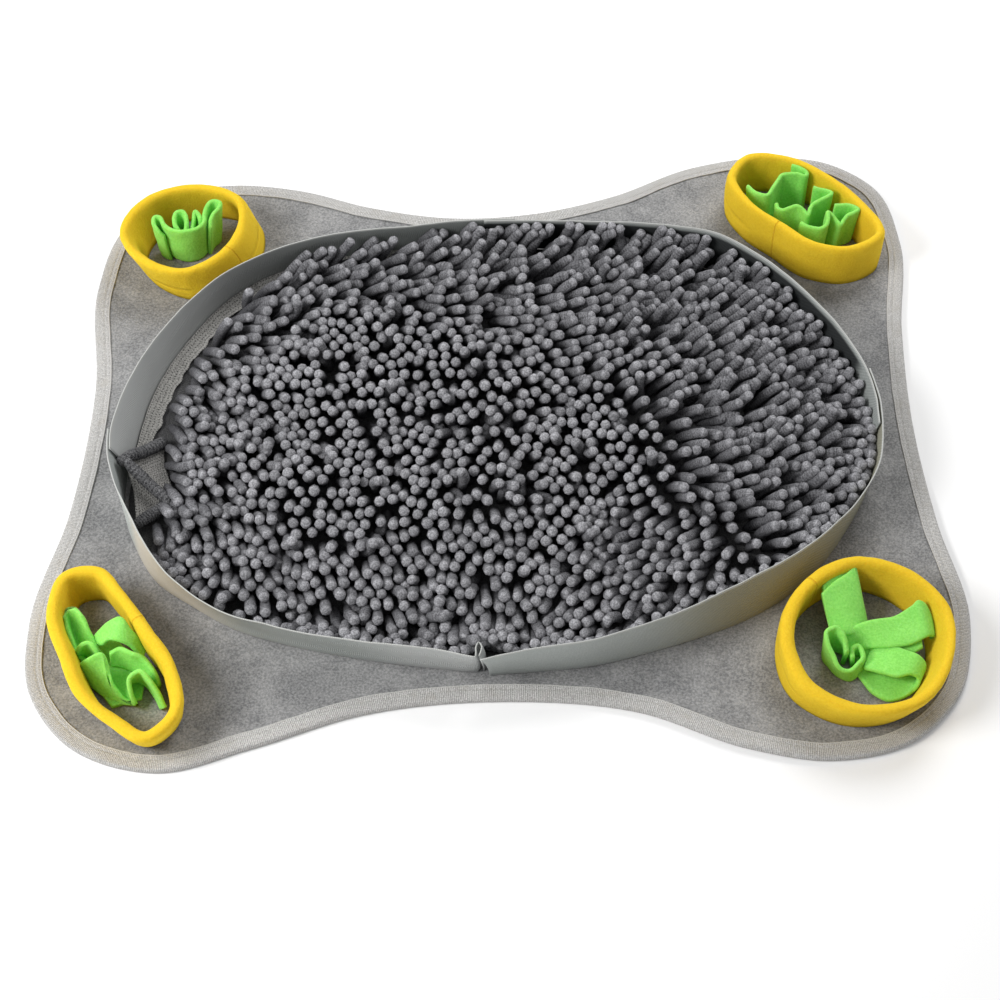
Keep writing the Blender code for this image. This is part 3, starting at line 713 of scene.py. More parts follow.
pile = {
    "padInset": 2.6, "padSteps": 300, "flange": 2.0, "notch": (6.0, 267.0, 6.0), "seed": 11,
    "spacing": 9.85, "jitter": 1.1, "radius": 3.5, "length": (31.5, 1.6), "lowest": 0.8,
    "longer": 3.0, "longerOver": 0.5,  # for those that lean right, in full from that lean on
    # longer by the back wall: how much, heading and half width, mm from it in full and gone
    "backRise": (4.0, 72.0, 55.0), "backBand": (14.0, 24.0),
    "nodes": 9, "steps": 90, "restPull": 0.09, "bend": (0.7, 1.25), "arch": 0.35,
    "mostLean": 0.94, "reach": 1.6, "slack": 0.985,
    "lookAgain": 5,  # steps until each finger's neighbours are looked up again
    "soft": [0.55, 0.6, 0.68, 0.78, 0.88, 0.95, 1.0, 1.0, 1.0],
    "sides": 8, "lowRings": 4, "highRings": 16, "highFrom": 0.46, "ridge": 0.016,
    "wallGap": 1.1, "clothLength": 28, "clothTip": 32.0,  # mm up a finger's cloth
    "thickSpread": 0.03, "tone": (0.13, 0.12, 0.42),  # its middle, spread and most
    "wild": (-0.55, 0.4),  # a lean in y where they start to be, and over how much of it
    # how unevenly the calm ones and the wild ones lean; how many are astray, and how far
    "unruly": (0.05, 0.1), "stray": (0.12, 0.3), "clump": 0.06, "clumpSize": 24.0, "fuzz": 0.042,
    "dome": [(0.3, 0.97), (0.58, 0.84), (0.76, 0.6)], "pole": 0.86,  # rise and width, in radii
    # where the backing has no fingers: extra inset, heading from the middle, half width
    "bare": [(9.0, 162.0, 38.0), (14.5, 192.0, 18.0), (7.0, 220.0, 18.0)],
    # how the fingers lean: plan x, y, then how far their tips go in x and y over their length
    "leans": [
        (-221, 52, .4, -.7), (-205, 20, .36, -.76), (-176, 100, .7, -.25), (-185, 75, .5, -.6),
        (-119, 105, .2, -.62), (-150, 140, .62, .15), (-120, 154, .56, .28), (-125, 132, .78, -.32),
        (-70, 162, .54, .3), (-75, 140, .78, -.36), (-12, 164, .5, .3), (-40, 125, .7, -.25),
        (-45, 98, .3, -.65), (2, 97, .5, -.62), (10, 120, .68, -.35), (46, 138, .72, -.05),
        (40, 168, .5, .32), (-69, 85, .1, -.6), (-34, 50, .0, -.62), (20, 65, .15, -.64),
        (-115, 5, .02, -.64), (-160, 40, .2, -.64), (-185, -12, .3, -.7),
        (-214, -20, .45, -.76), (-120, 60, .1, -.62),
        (-210, -60, .42, -.76), (-212, -100, .12, -.84), (-192, -137, -.1, -.82),
        (-132, -64, .06, -.64), (-156, -105, .25, -.76), (-128, -161, .15, -.86),
        (-100, -110, .16, -.74), (-65, -131, .12, -.78), (-66, -62, .0, -.63),
        (-30, 20, -.12, -.62), (-32, -30, -.14, -.62), (12, 15, .14, -.6), (12, -35, .14, -.62),
        (-2, -163, .0, -.86), (-2, -110, .0, -.72), (25, -80, .0, -.64), (50, -25, -.04, -.6),
        (84, 45, .35, -.42), (55, 75, .6, -.4), (80, 5, -.08, -.58), (95, -30, -.14, -.6),
        (62, -132, -.36, -.72), (102, -100, -.58, -.66), (130, -90, -.52, -.72),
        (111, -164, -.3, -.74), (164, -134, -.1, -.66), (182, -86, .55, -.25),
        (140, -60, .6, -.5), (140, -12, .7, -.42), (118, 22, .66, -.2), (165, -25, .62, .05),
        (175, -58, .66, -.1), (158, 24, .62, .05), (195, -15, .56, .0), (202, 22, .62, -.1),
        (144, 95, .66, .1), (102, 116, .7, .0), (85, 82, .7, -.02), (199, 85, .7, -.02),
        (236, 37, .62, -.5), (246, 5, .55, -.58), (242, -27, .48, -.63), (210, -69, .4, -.35),
        (177, 145, .66, .1), (112, 161, .58, .25),
    ],
    "leanSpread": 20.0,
}


def fenceLoops(steps):  # the oval's foot and top
    rows = []
    for name, (first, last) in laps.items():
        rows += ribbons[name][first:len(ribbons[name]) - last]
    both = curveThrough(rows, steps, closed=True)
    return both[:, :2], both[:, 2:]


def headings(points):
    way = np.asarray(points) - mat["datum"]
    return np.degrees(np.arctan2(way[:, 1], way[:, 0])) % 360


def padEdge(foot, extra=0.0):  # the pad's edge, or a line that far inside it
    turn = headings(foot)
    height, middle, half = pile["notch"]
    inset = pile["padInset"] + height * hill(turn, middle, half)
    if extra:
        inset = inset + extra + sum(wide * hill(turn, *where) for wide, *where in pile["bare"])
    return foot - outward(foot) * inset[:, None]


def leanAt(points):
    table = np.array(pile["leans"])
    away = np.linalg.norm(points[:, None, :] - table[None, :, :2], axis=2)
    weight = np.exp(-(away / pile["leanSpread"]) ** 2) + 1e-9 / (1 + away) ** 2
    return (weight[..., None] * table[None, :, 2:]).sum(axis=1) / weight.sum(axis=1)[:, None]


def insideLoop(points, loop):
    inside = np.zeros(len(points), dtype=bool)
    x, y = points.T
    for (x0, y0), (x1, y1) in zip(loop, np.roll(loop, -1, axis=0)):
        crosses = (y0 > y) != (y1 > y)
        if crosses.any():
            inside ^= crosses & (x < (x1 - x0) * (y - y0) / (y1 - y0 + 1e-12) + x0)
    return inside


def plantRoots(random, foot):
    edge = padEdge(foot, pile["flange"] + pile["radius"] * 0.6)
    spots = np.array(lattice(edge, pile["spacing"]))
    spots = spots[insideLoop(spots, edge)]
    return spots + random.uniform(-1, 1, spots.shape) * pile["jitter"]


def settle(random, roots, foot, top):
    # each finger is a chain of balls that bends to its lean and is pushed off the others
    count, nodes, radius = len(roots), pile["nodes"], pile["radius"]
    lean = leanAt(roots)
    start, over = pile["wild"]
    wild = np.clip((lean[:, 1:] - start) / over, 0, 1)  # those that lean back lie less evenly
    calm, rough = pile["unruly"]
    lean += random.normal(0, 1, roots.shape) * (calm + (rough - calm) * wild)
    share, astray = pile["stray"]
    lean += random.normal(0, astray, roots.shape) * (random.random((count, 1)) < share)
    lean += pile["clump"] * np.column_stack([ripple(roots, pile["clumpSize"], seed)
                                             for seed in (31.0, 57.0)])
    size = np.linalg.norm(lean, axis=1, keepdims=True)
    lean *= np.minimum(1.0, pile["mostLean"] / np.maximum(size, 1e-6))
    length = pile["length"][0] + random.normal(0, 1, count) * pile["length"][1]
    length += pile["longer"] * np.clip(lean[:, 0] / pile["longerOver"], 0, 1)
    inside = np.linalg.norm(roots[:, None] - foot[None], axis=2).min(axis=1)
    extra, *where = pile["backRise"]
    whole, gone = pile["backBand"]
    fading = np.clip((gone - inside) / (gone - whole), 0, 1)
    length += extra * hill(headings(roots), *where) * fading
    step = (length - radius) / (nodes - 1)
    rise = np.sqrt(1 - (lean**2).sum(axis=1))
    points = np.zeros((count, nodes, 3))
    points[:, 0] = np.column_stack([roots, np.full(count, mat["deck"] + mat["backing"])])
    for k in range(1, nodes):
        upright, drooping = pile["bend"]  # its share of the lean at its root and at its tip
        bend = upright + (drooping - upright) * (k - 0.5) / (nodes - 1)
        way = np.column_stack([lean * bend, rise + pile["arch"] * (1 - bend)])
        points[:, k] = points[:, k - 1] + unit(way) * step[:, None]
    rest = points.copy()
    owner = np.repeat(np.arange(count), nodes)
    reach = np.tile(np.array(pile["soft"]) * radius, count)  # lower down they squash together
    normals = outward(foot)
    wall = treeOf(foot)
    height, middle, half = pile["notch"]  # the lap's loop stands in the notch
    lowest = mat["deck"] + mat["backing"] + radius * pile["lowest"]
    clear = radius + pile["wallGap"] + 2.0 * height * hill(headings(foot), middle, half)
    closest = np.array([wall.find((x, y, 0))[1] for x, y, _ in points.reshape(-1, 3)])
    closest = closest.reshape(count, nodes)
    for turn in range(pile["steps"]):
        flat = points.reshape(-1, 3)
        if turn % pile["lookAgain"] == 0:
            tree = treeOf(flat)
            pairs = np.array([(index, other) for index, p in enumerate(flat)
                              for _, other, _ in tree.find_range(p, 2 * radius + pile["reach"])
                              if other > index and owner[other] != owner[index]])
        points[:, 1:] += (rest - points)[:, 1:] * pile["restPull"]
        first, second = pairs.T
        gap = flat[first] - flat[second]
        away = np.linalg.norm(gap, axis=1)
        push = np.maximum((reach[first] + reach[second]) * pile["slack"] - away, 0)
        push *= 0.5 / np.maximum(away, 1e-6)
        move = np.zeros_like(flat)
        hits = np.zeros(len(flat))
        np.add.at(move, first, gap * push[:, None])
        np.add.at(move, second, -gap * push[:, None])
        np.add.at(hits, first, push > 0)
        np.add.at(hits, second, push > 0)
        flat += move / np.maximum(hits, 1.0)[:, None] ** 0.5
        points = flat.reshape(count, nodes, 3)
        points[:, 0] = rest[:, 0]
        share = np.clip((points[..., 2] - mat["fenceFoot"])
                        / (mat["fenceTop"] - mat["fenceFoot"]), 0, 1)[..., None]
        share = share ** ribbons["flare"]
        line = foot[closest] * (1 - share) + top[closest] * share
        room = ((line - points[..., :2]) * normals[closest]).sum(axis=2)
        inward = np.maximum(clear[closest] - room, 0)
        points[..., :2] -= normals[closest] * inward[..., None]
        points[:, 1:, 2] = np.maximum(points[:, 1:, 2], lowest)
        for k in range(1, nodes):
            way = unit(points[:, k] - points[:, k - 1])
            points[:, k] = points[:, k - 1] + way * step[:, None]
    return points


def fingerPieces(random, chains, groups, radius):
    count, nodes = chains.shape[:2]
    sides = pile["sides"]
    halfway = pile["highFrom"]
    shares = np.concatenate([np.linspace(0, halfway, pile["lowRings"], endpoint=False),
                             np.linspace(halfway, 1, pile["highRings"])])
    spots = shares * (nodes - 1)
    low = np.minimum(spots.astype(int), nodes - 2)
    part = (spots - low)[None, :, None]
    padded = np.concatenate([2 * chains[:, :1] - chains[:, 1:2], chains,
                             2 * chains[:, -1:] - chains[:, -2:-1]], axis=1)
    p0, p1, p2, p3 = (padded[:, low + k] for k in range(4))
    middle = 0.5 * (2 * p1 + (p2 - p0) * part + (2 * p0 - 5 * p1 + 4 * p2 - p3) * part**2
                    + (3 * p1 - p0 - 3 * p2 + p3) * part**3)
    way = unit(np.gradient(middle, axis=1))
    thick = radius * (1 + random.normal(0, pile["thickSpread"], count))[:, None]
    waves = pile["ridge"] * (-1.0) ** np.arange(len(shares)) * (shares > 0.4)
    width = thick * (0.74 + 0.26 * np.clip(shares / 0.25, 0, 1) + 0.03 * shares**2 + waves)[None, :]
    dome = np.array(pile["dome"])
    tip, tipWay = middle[:, -1:], way[:, -1:]
    middle = np.concatenate([middle, tip + tipWay * (thick * dome[:, 0])[..., None]], axis=1)
    way = np.concatenate([way, np.repeat(tipWay, len(dome), axis=1)], axis=1)
    width = np.concatenate([width, thick * dome[:, 1] * 1.03], axis=1)
    lean = chains[:, -1, :2] - chains[:, 0, :2]
    heading = np.arctan2(lean[:, 1], lean[:, 0]) + math.pi / 2
    level = np.column_stack([np.cos(heading), np.sin(heading), np.zeros(count)])[:, None, :]
    side = unit(level - way * (level * way).sum(axis=2, keepdims=True))
    other = np.cross(way, side)
    angle = np.arange(sides) * 2 * math.pi / sides
    rings = middle.shape[1]
    fuzz = 1 + random.normal(0, pile["fuzz"], (count, rings, sides))
    points = (middle[:, :, None, :] + (side[:, :, None, :] * np.cos(angle)[:, None]
                                       + other[:, :, None, :] * np.sin(angle)[:, None])
              * (width[:, :, None] * fuzz)[..., None])
    pole = tip[:, 0] + tipWay[:, 0] * thick * pile["pole"]
    block = rings * sides + 1
    allPoints = np.concatenate([points.reshape(count, -1, 3), pole[:, None, :]], axis=1)
    faces, alongs, acrosses = gridFaces(rings, sides)
    faces = faces[:, ::-1]
    long, pointed = pile["clothLength"], pile["clothTip"]
    rise = np.concatenate([shares * long, long + radius * dome[:, 0]])
    around = np.arange(sides + 1) * 2 * math.pi * radius / sides
    quadCorners = np.stack([around[acrosses], rise[alongs]], axis=2)[:, ::-1].reshape(-1, 2)
    last = (rings - 1) * sides
    caps = [[last + k, last + (k + 1) % sides, block - 1] for k in range(sides)]
    capCorners = [(x, y) for k in range(sides)
                  for x, y in ((around[k], rise[-1]), (around[k + 1], rise[-1]),
                               (around[k], pointed))]
    footCorners = [(around[k], 0.0) for k in range(sides)]
    made = []
    usual, spread, most = pile["tone"]
    tones = np.clip(random.normal(usual, spread, count), 0, most)
    for name, members in groups.items():
        everyFace, everyCorner = [], []
        shift = random.uniform(0, 40, len(members))  # round it, so that no two match
        for number in range(len(members)):
            start = number * block
            everyFace += (faces + start).tolist()
            everyFace += [[k + start for k in cap] for cap in caps]
            everyFace.append([start + k for k in range(sides)][::-1])
            corner = np.concatenate([quadCorners, capCorners, footCorners])
            everyCorner.append(corner + [shift[number], 0])
        piece = makePiece(name, allPoints[members].reshape(-1, 3), everyFace,
                          np.concatenate(everyCorner), np.repeat(tones[members], block))
        made.append(piece)
    return made


def makePile():
    random = np.random.default_rng(pile["seed"])
    foot, top = fenceLoops(pile["padSteps"])
    floorTop = mat["deck"] + mat["backing"]
    backing = flatCloth("pile_backing", padEdge(foot), 7.0,
                        lambda plan, inset: floorTop + 0.3 * ripple(plan, 20.0),
                        lambda plan, inset: np.full(len(plan), mat["deck"] + 0.1))
    dress(backing, knitFinish("knitBackingPaintedShade"), "chenille", "pile_pad")
    roots = plantRoots(random, foot)
    chains = settle(random, roots, foot, top)
    print("fingers:", len(roots), "highest at", round(chains[..., 2].max() + pile["radius"], 1))
    order = np.argsort(roots[:, 0])
    groups = {f"pile_fingers_{k + 1}": part for k, part in enumerate(np.array_split(order, 4))}
    fingers = fingerPieces(random, chains, groups, pile["radius"])
    finish = pileFinish()
    for piece in fingers:
        dress(piece, finish, "chenille", "pile_pad")
    return backing, fingers, padEdge(foot)


# the pad's bare edge on the left, from one heading to another
flange = {
    "width": 11.5, "from": 112.0, "to": 186.0, "thick": 0.9, "across": 8, "inset": 1.6,
    "ends": 12.0, "leastEnd": 0.25, "edgeSway": [(9.0, 6.0, 1.3)], "lift": 0.7, "wallRise": 2.6,
    "freeRise": 1.6, "bumps": [(11.0, 3.0, 0.45)],
}


def makeFlange():
    foot, _ = fenceLoops(pile["padSteps"] * 2)
    turn = headings(foot)
    path = foot[(turn > flange["from"]) & (turn < flange["to"])]
    normals = unit(np.column_stack([np.gradient(path[:, 1]), -np.gradient(path[:, 0])]))
    share = np.linspace(0, 1, flange["across"])
    ends = np.minimum(np.arange(len(path)), np.arange(len(path))[::-1]) / flange["ends"]
    ends = np.clip(ends, flange["leastEnd"], 1)
    wide = (flange["width"] + ripples(path, flange["edgeSway"])) * ends ** 0.5
    inset = flange["inset"] + share[None, :] * wide[:, None]
    plan = path[:, None, :] - normals[:, None, :] * inset[..., None]
    floorTop = mat["deck"] + mat["backing"] + flange["lift"]
    height = (floorTop + flange["wallRise"] * (1 - share[None, :]) ** 3
              + flange["freeRise"] * share[None, :] ** 4 + ripples(plan, flange["bumps"]))
    strip = slab("pile_flange", np.dstack([plan, height[..., None]]), flange["thick"])
    dress(strip, knitFinish("knitEdge"), "chenille")
    round(lengthsAlong(path)[-1] * mm, 3)


# the pad's corner folded up against the fence: lines from its outer end to its inner end,
# and the rolled edges along three of them
corner = {
    "lines": [
        [(-253.5, -45, 27), (-242, -29, 17), (-230, -13, 6)],
        [(-249.5, -44.5, 23), (-239, -35, 11.5), (-228, -27, 5.5)],
        [(-249.5, -44, 25), (-236, -54, 16), (-221, -66, 8)],
        [(-245, -58, 15), (-235, -66, 9.5), (-224, -72, 5.5)],
        [(-241, -85, 10), (-232, -78, 9), (-222, -71, 8)],
    ],
    "rolls": [
        [(-253, -46, 29.5), (-247, -37, 25), (-240, -27, 17), (-230.5, -14, 10)],
        [(-250, -43.5, 28.5), (-243, -49.5, 24), (-234, -56, 17.5), (-221.5, -65.5, 12)],
        [(-241, -87.5, 13), (-236, -82.5, 13), (-230, -77, 12.5), (-222, -70, 11.5)],
    ],
    "thick": 1.2, "along": 36, "across": 22, "rollRadius": 4.3,
}


def makeCorner():
    ribs = np.array([curveThrough(line, corner["along"]) for line in corner["lines"]])
    lines = np.array([curveThrough(ribs[:, k], corner["across"]) for k in range(corner["along"])])
    strip = slab("pile_corner", lines, corner["thick"])
    dress(strip, knitFinish("knitCorner"), "chenille")
    chains = np.array([curveThrough(roll, pile["nodes"]) for roll in corner["rolls"]])
    rolls = fingerPieces(np.random.default_rng(5), chains, {"corner_rolls": np.arange(3)},
                         corner["rollRadius"])
    dress(rolls[0], rollFinish(), "chenille")


rings = {
    "fleece": 2.3, "steps": 190, "leastHollow": 0.12, "hollowTop": 0.35, "overFold": 5,
    # bumps in mm, seed, size: the wall's thickness, its belly in mm and its height
    "waves": [(28.0, 3.0, 0.13), (40.0, 20.0, 1.0), (45.0, 9.0, 0.02)],
    "nap": (7.0, 0.22),
    # across in mm from the wall's middle, share of the height, for the outer skin
    "skin": [
        (-2.7, 0.0), (-3.2, 0.12), (-3.5, 0.3), (-3.7, 0.5), (-3.8, 0.68), (-3.75, 0.82),
        (-3.4, 0.91), (-2.6, 0.965), (-1.4, 0.992), (0.0, 1.0), (1.4, 0.992), (2.6, 0.965),
        (3.4, 0.91), (3.75, 0.82), (3.8, 0.68), (3.6, 0.5), (3.4, 0.3), (3.1, 0.12), (2.7, 0.0),
    ],
    "ring_back_left": {
        "crest": [(-221, 210), (-191, 196), (-187, 166), (-199, 139), (-226, 123), (-256, 136),
                  (-272, 163), (-256, 198)],
        "footSize": 1.0, "footShift": (11, 6), "height": 36.0, "seam": (-196, 146),
        "stout": (1.0, 0.0), "fold": 0.35,
    },
    "ring_back_right": {
        "crest": [(177, 218), (187, 187), (206, 167), (229, 145), (255, 140), (279, 155),
                  (269, 186), (246, 217), (221, 235), (190, 237)],
        "footSize": 1.0, "footShift": (0, 0), "height": 35.0, "seam": (206, 167),
        "stout": (1.0, 0.0), "fold": 0.4,
    },
    "ring_front_left": {
        "crest": [(-276, -141), (-282, -168), (-270, -202), (-257, -229), (-236, -249),
                  (-214, -261), (-199, -246), (-203, -214), (-222, -184), (-242, -155),
                  (-258, -138)],
        "footSize": 0.89, "footShift": (0, 8), "height": 32.0, "seam": (-229, -175),
        "stout": (1.15, 0.0), "fold": 0.55,
    },
    "ring_front_right": {
        "crest": [(228, -135), (257, -145), (277, -172), (275.5, -205), (252, -240), (214, -246),
                  (182.5, -225), (176, -189), (195, -152)],
        "footSize": 0.92, "footShift": (-5, 4), "height": 30.0, "seam": (197, -152),
        "stout": (1.12, -0.25), "fold": 0.55,
    },
    "yellowDark": (0.73, 0.465, 0.02), "yellowLight": (0.87, 0.60, 0.038),
    "seamColour": (0.62, 0.30, 0.01),
}


def makeRings():
    made = []
    for number, name in enumerate([key for key in rings if key.startswith("ring_")]):
        ring = rings[name]
        crest = curveThrough(ring["crest"], rings["steps"], closed=True)
        if np.cross(crest[1] - crest[0], crest[2] - crest[0]) < 0:
            crest = crest[::-1]
        middle = crest.mean(axis=0)
        foot = middle + (crest - middle) * ring["footSize"] + ring["footShift"]
        normals = outward(crest)
        skin = np.array(rings["skin"])
        inner = skin[::-1].copy()  # the hollow between the band's two layers
        slim = (np.abs(inner[:, 0]) - rings["fleece"]) / np.abs(inner[:, 0]).clip(0.1)
        inner[:, 0] *= np.clip(slim, rings["leastHollow"], 1)
        inner[:, 1] -= (rings["fleece"] / ring["height"]
                        * hill(inner[:, 1], 1.0, rings["hollowTop"]))
        inner[:, 1] = np.maximum(inner[:, 1], 0.0)
        section = np.vstack([skin, inner])
        stout, swing = ring["stout"]  # its walls' thickness, and how much more to the right
        swell, belly, uneven = (ripple(crest, size, number + seed) * depth
                                for size, seed, depth in rings["waves"])
        plump = stout + swing * normals[:, 0] + swell
        across = section[None, :, 0] * plump[:, None]
        share = section[:, 1][None, :, None]
        plan = foot[:, None, :] + (crest - foot)[:, None, :] * share
        belly = belly[:, None] * np.sin(section[:, 1] * math.pi)
        plan = plan + normals[:, None, :] * (across + belly)[..., None]
        tall = ring["height"] * (1 + uneven)
        height = mat["deck"] + tall[:, None] * section[None, :, 1]
        grid = np.dstack([plan, height[..., None]])
        bumps, depth = rings["nap"]
        soft = ripple(grid, bumps, number) * depth * np.clip(section[None, :, 1] * 4, 0, 1)
        grid[..., :2] += normals[:, None, :] * soft[..., None]
        around = lengthsAlong(crest, closed=True)
        seamAt = around[np.argmin(np.linalg.norm(crest - ring["seam"], axis=1))]
        acrossCloth = lengthsAlong(section * [1, ring["height"]], closed=True)
        piece = gridPiece(name.replace("ring", "fleece_ring"), grid, around, acrossCloth,
                          around=True)
        finish = fleeceFinish("yellowFleece_" + name, rings["yellowDark"], rings["yellowLight"],
                              rings["seamColour"], seamAt,
                              np.interp(-ring["fold"], -skin[9:, 1], acrossCloth[9:len(skin)]))
        dress(piece, finish, "ring_fleece", name)
        wide = 2 * ring["height"] + rings["overFold"]
        round(wide * mm, 3)
        made.append(piece)
    return made


tufts = {
    "thick": 3.0, "step": 1.05, "across": 14, "footHeight": 4.5, "leastWidth": 10.0,
    "greenDark": (0.18, 0.60, 0.08), "greenLight": (0.37, 0.85, 0.20),
    "bumps": (11.0, 0.35),
    # the back tufts' strips stand on edge: x, y, z along the upper edge. The lower edge is
    # the same, but its distance from the knot, at that x and y, is only so much of the upper's
    "green_back_left": {
        "knot": (-228, 172, 0.86),
        "strips": [
            [(-243, 168, 27), (-247, 169.5, 32), (-251, 174, 35), (-250.5, 179, 36),
             (-247, 179, 36), (-244, 174, 35), (-238, 169, 34), (-230, 166, 34),
             (-223, 167, 34), (-217, 171, 34), (-214, 177, 34), (-214.2, 184, 35),
             (-213, 190, 36), (-210.5, 194, 37), (-206.5, 195, 37), (-203, 192, 37),
             (-204, 188.5, 36), (-207.5, 184, 35), (-209.5, 179, 33), (-210.5, 174, 29)],
            [(-232.5, 170.5, 30), (-235.5, 174, 33.5), (-236, 180, 36), (-234, 184, 37),
             (-230.5, 184.5, 37), (-227.5, 181, 36), (-227, 176, 34), (-228, 171, 30)],
            [(-223.5, 172, 28), (-222.5, 180, 32), (-221, 185.5, 36), (-218, 182.5, 34.5),
             (-216.8, 178, 32.5)],
        ],
    },
    "green_back_right": {
        "knot": (228, 196, 0.94),
        "strips": [
            [(187.5, 208.5, 34), (193, 202, 34), (201, 198.5, 34), (206, 206, 34),
             (211, 214, 35), (214, 218, 36), (220, 219, 36), (226, 218.5, 36),
             (231.5, 217, 36), (233, 219, 36), (228, 224, 37), (222, 227, 37)],
            [(208, 193.5, 30), (209, 190, 29), (212, 188, 29), (217, 188, 31),
             (222, 188, 33), (227, 185, 31), (230, 181, 30), (232, 186, 32),
             (235, 190, 33), (240, 192, 35), (246, 195, 36), (249, 198.5, 36),
             (245, 202, 36), (240, 203, 36), (236, 204.5, 36)],
            [(224, 173.5, 30), (227, 170.5, 30), (233, 168, 30), (238, 166.5, 31),
             (242, 168, 33), (243.3, 172, 35), (243.6, 178, 36), (247, 175.5, 34),
             (250, 172.5, 32), (253, 170, 31), (255, 173, 32), (258, 176, 34),
             (263, 178, 35), (266.3, 180.5, 35.5), (264, 184, 35), (259, 185.5, 35),
             (254, 186, 35), (250, 186.5, 35)],
        ],
    },
    # the front ones lie and curl: x, y, z of the points across the strip, row by row
    "green_front_left": {
        "strips": [
            [(-276, -167, 24, -274, -163, 27, -269, -163, 28, -265, -166, 26),
             (-273, -176, 20, -273, -168, 14, -268, -168, 17, -262, -172, 21),
             (-268, -186, 14, -268, -178, 8, -263, -178, 12, -257, -179, 15),
             (-262, -192, 9, -261, -187, 5, -257, -186, 6, -252, -187, 9)],
            [(-268, -188, 8, -266, -190, 18), (-266, -186, 8, -263, -188, 23),
             (-261, -186, 8, -258, -187, 24), (-256, -188, 8, -254, -190, 22),
             (-254, -191, 8, -252, -193, 18)],
            [(-262, -200, 20, -259, -202, 6), (-256, -200, 26, -256, -207, 6),
             (-247, -199, 28, -247, -214, 5), (-244.5, -206, 20, -242, -217, 5),
             (-241, -216, 9, -228, -221, 5)],
            [(-254, -180, 14, -257, -176, 14), (-251, -185, 20, -253, -176, 20),
             (-245, -185, 26, -246, -175, 28), (-239, -187, 28, -239, -173, 30),
             (-233, -188, 24, -233, -179, 26), (-226, -192, 14, -225, -186, 14)],
            [(-246, -192, 8, -245, -192, 20), (-239, -194, 9, -238, -192, 25),
             (-231, -197, 9, -230, -196, 26), (-223, -202, 8, -222, -199, 22),
             (-218, -206, 7, -216, -206, 16), (-215, -210, 5, -214, -210, 10)],
            [(-230, -220, 4, -227, -223, 10), (-232, -213, 5, -230, -219, 18),
             (-233, -207, 8, -230, -213, 24), (-228, -205, 8, -224, -210, 27),
             (-222, -208, 8, -218, -214, 25), (-217, -214, 6, -214, -219, 19),
             (-212, -223, 4, -209, -225, 9)],
            [(-264, -178, 4.6, -250, -169, 4.6), (-262, -190, 4.6, -240, -180, 5),
             (-257, -202, 4.6, -232, -192, 5), (-248, -214, 4.6, -226, -202, 5),
             (-242, -222, 4.6, -226, -216, 4.6)],
        ],
    },
    "green_front_right": {
        "strips": [
            [(207, -174, 9, 203, -152, 26), (215, -172, 8, 209, -146, 27),
             (225, -170, 9, 221, -137.5, 27.5), (230, -172, 11, 224.5, -138.5, 28),
             (226, -177, 14, 220, -143.5, 27.5), (215, -181, 15, 209.5, -151, 27),
             (206, -179, 14, 202, -158, 26)],
            [(217, -191, 6, 215, -183, 12), (223, -189, 9, 220, -178, 16),
             (232, -189, 13, 232, -175, 20), (245, -191, 17, 246, -174, 22),
             (257, -190, 20, 257, -169, 26), (265, -186.5, 22, 262, -166, 28),
             (267.5, -185, 20, 265, -167, 26), (270.5, -183, 15, 269, -173, 20),
             (271, -182, 10, 269.5, -175, 14)],
            [(222, -194, 5, 222, -186, 8), (234, -197, 7, 234, -186, 12),
             (248, -197, 11, 249, -184, 16), (262, -191.5, 16, 261.5, -178, 20.5)],
            [(222, -204, 4.5, 230, -192, 4.5), (229, -216, 4.5, 240, -196, 4.5),
             (238, -223, 4.5, 250, -200, 5), (248, -221, 5, 257, -204, 6),
             (256, -216, 8, 261.5, -205.5, 9), (257.5, -212, 12, 262, -203, 13),
             (253, -211, 15.5, 258, -200, 17), (244, -212, 15.5, 250, -195, 17),
             (234, -208, 13, 241, -190, 14), (225, -203, 10, 232, -188, 10)],
            [(213, -196, 5, 214, -197, 19), (215, -190, 6, 212.5, -189, 24),
             (209, -185.5, 5, 208, -183, 26), (203.5, -184.5, 4.5, 202, -185, 25),
             (202, -191, 4.5, 201.5, -192, 23), (205, -197, 4.5, 204.5, -200, 19),
             (209, -203.5, 4.5, 207.5, -206, 16), (216, -207.5, 4.5, 215, -207.5, 14),
             (222, -203, 4.5, 220.5, -203, 14.5), (226, -197, 5, 224.5, -198, 16),
             (224, -191, 6, 222, -191, 17), (219, -192, 6, 218, -193, 17),
             (219, -198, 5, 217.5, -199, 15)],
        ],
    },
}


def makeTufts():
    finish = fleeceFinish("greenFleece", tufts["greenDark"], tufts["greenLight"])
    for name in [key for key in tufts if key.startswith("green_")]:
        knot = tufts[name].get("knot")
        for number, rows in enumerate(tufts[name]["strips"]):
            rows = np.array(rows, dtype=float)
            if knot:
                lower = knot[:2] + (rows[:, :2] - knot[:2]) * knot[2]
                rows = np.column_stack([lower, np.full(len(rows), tufts["footHeight"]), rows])
            length = lengthsAlong(curveThrough(rows, 80)[:, -3:])[-1]
            rows = curveThrough(rows, round(length / tufts["step"]))
            points = rows.reshape(len(rows), -1, 3)
            lines = np.array([curveThrough(row, tufts["across"]) for row in points])
            bumps, depth = tufts["bumps"]
            lines = lines + ripple(lines, bumps, number)[..., None] * depth
            strip = slab(f"{name}_strip_{number + 1}", lines, tufts["thick"])
            dress(strip, finish, "tuft_fleece", name.replace("green", "tuft"))
            width = np.linalg.norm(np.diff(lines, axis=1), axis=2).sum(axis=1).mean()
            length = np.linalg.norm(np.diff(lines, axis=0), axis=2).sum(axis=0).mean()
            width = max(width, tufts["leastWidth"])


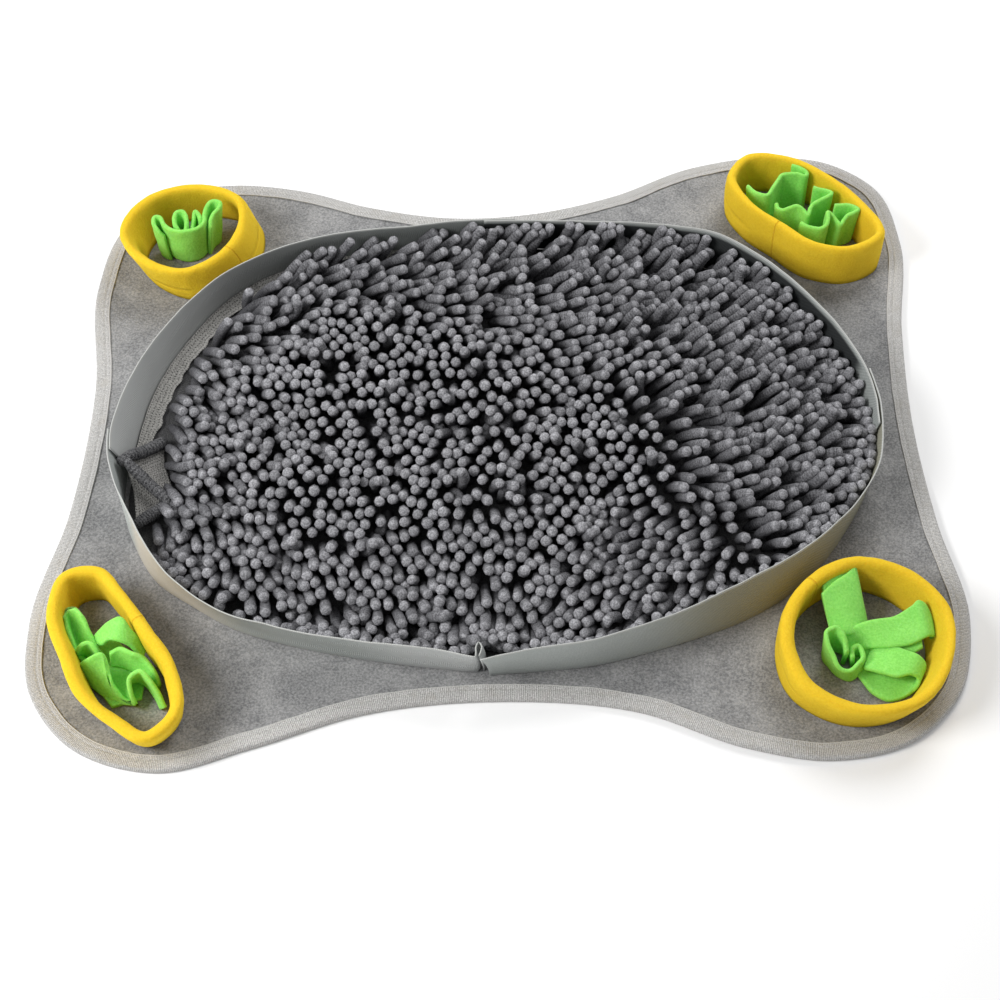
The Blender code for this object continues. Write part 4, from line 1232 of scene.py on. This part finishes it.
room = {"from": (-0.01134, -0.86977, 1.0346), "to": (-0.00014, -0.06157, 0.0), "lens": 70.2,
        "sensor": 36.0, "sky": 0.44, "floor": (0.96, 0.96, 0.96), "floorHalf": 40.0,
        "floorDrop": 0.0002, "floorRough": 0.8}
lamps = {  # where each stands, how wide it is, and its power in watts
    "key": ((-1.05, -0.4, 0.95), 0.65, 17.0),
    "behind": ((0.5, 0.9, 1.0), 0.8, 11.0),
}


def makeRoom():
    camera = bpy.data.objects.new("camera", bpy.data.cameras.new("camera"))
    camera.location = room["from"]
    way = Vector(room["to"]) - Vector(room["from"])
    camera.rotation_euler = way.to_track_quat("-Z", "Y").to_euler()
    camera.data.lens, camera.data.sensor_width = room["lens"], room["sensor"]
    scene.collection.objects.link(camera)
    scene.camera = camera
    for name, (place, size, power) in lamps.items():
        lamp = bpy.data.objects.new(name, bpy.data.lights.new(name, "AREA"))
        lamp.location = place
        lamp.rotation_euler = (-Vector(place)).to_track_quat("-Z", "Y").to_euler()
        lamp.data.shape, lamp.data.size, lamp.data.energy = "DISK", size, power
        scene.collection.objects.link(lamp)
    world = bpy.data.worlds.new("studio")
    world.use_nodes = True
    background = world.node_tree.nodes["Background"]
    background.inputs[0].default_value = (1, 1, 1, 1)
    background.inputs[1].default_value = room["sky"]
    scene.world = world
    side = room["floorHalf"]
    mesh = bpy.data.meshes.new("floor")
    mesh.from_pydata([(-side, -side, 0), (side, -side, 0), (side, side, 0), (-side, side, 0)], [],
                     [(0, 1, 2, 3)])
    floor = bpy.data.objects.new("floor", mesh)
    floor.location.z = -room["floorDrop"]
    board = Board("paleFloor")
    shade = board.grain(400.0, 1.0)
    pale = room["floor"]
    colour = board.mix(shade, pale, tuple(c * 1.02 for c in pale))
    mesh.materials.append(board.finish(colour, room["floorRough"], [(shade, 0.01)]))
    scene.collection.objects.link(floor)
    scene.view_settings.view_transform = "Standard"


makeRoom()
base, baseEdge = makeBase()
print("base: done")
binding, trims, tapeLength = makeBinding()
print("binding: done, mm of tape:", round(tapeLength))
fence = makeFence()
print("fence:", len(fence), "ribbons")
backing, fingers, backingEdge = makePile()
print("pile: done")
makeFlange()
print("flange: done")
makeCorner()
print("corner: done")
ringPieces = makeRings()
print("rings:", len(ringPieces))
makeTufts()
print("tufts: done")
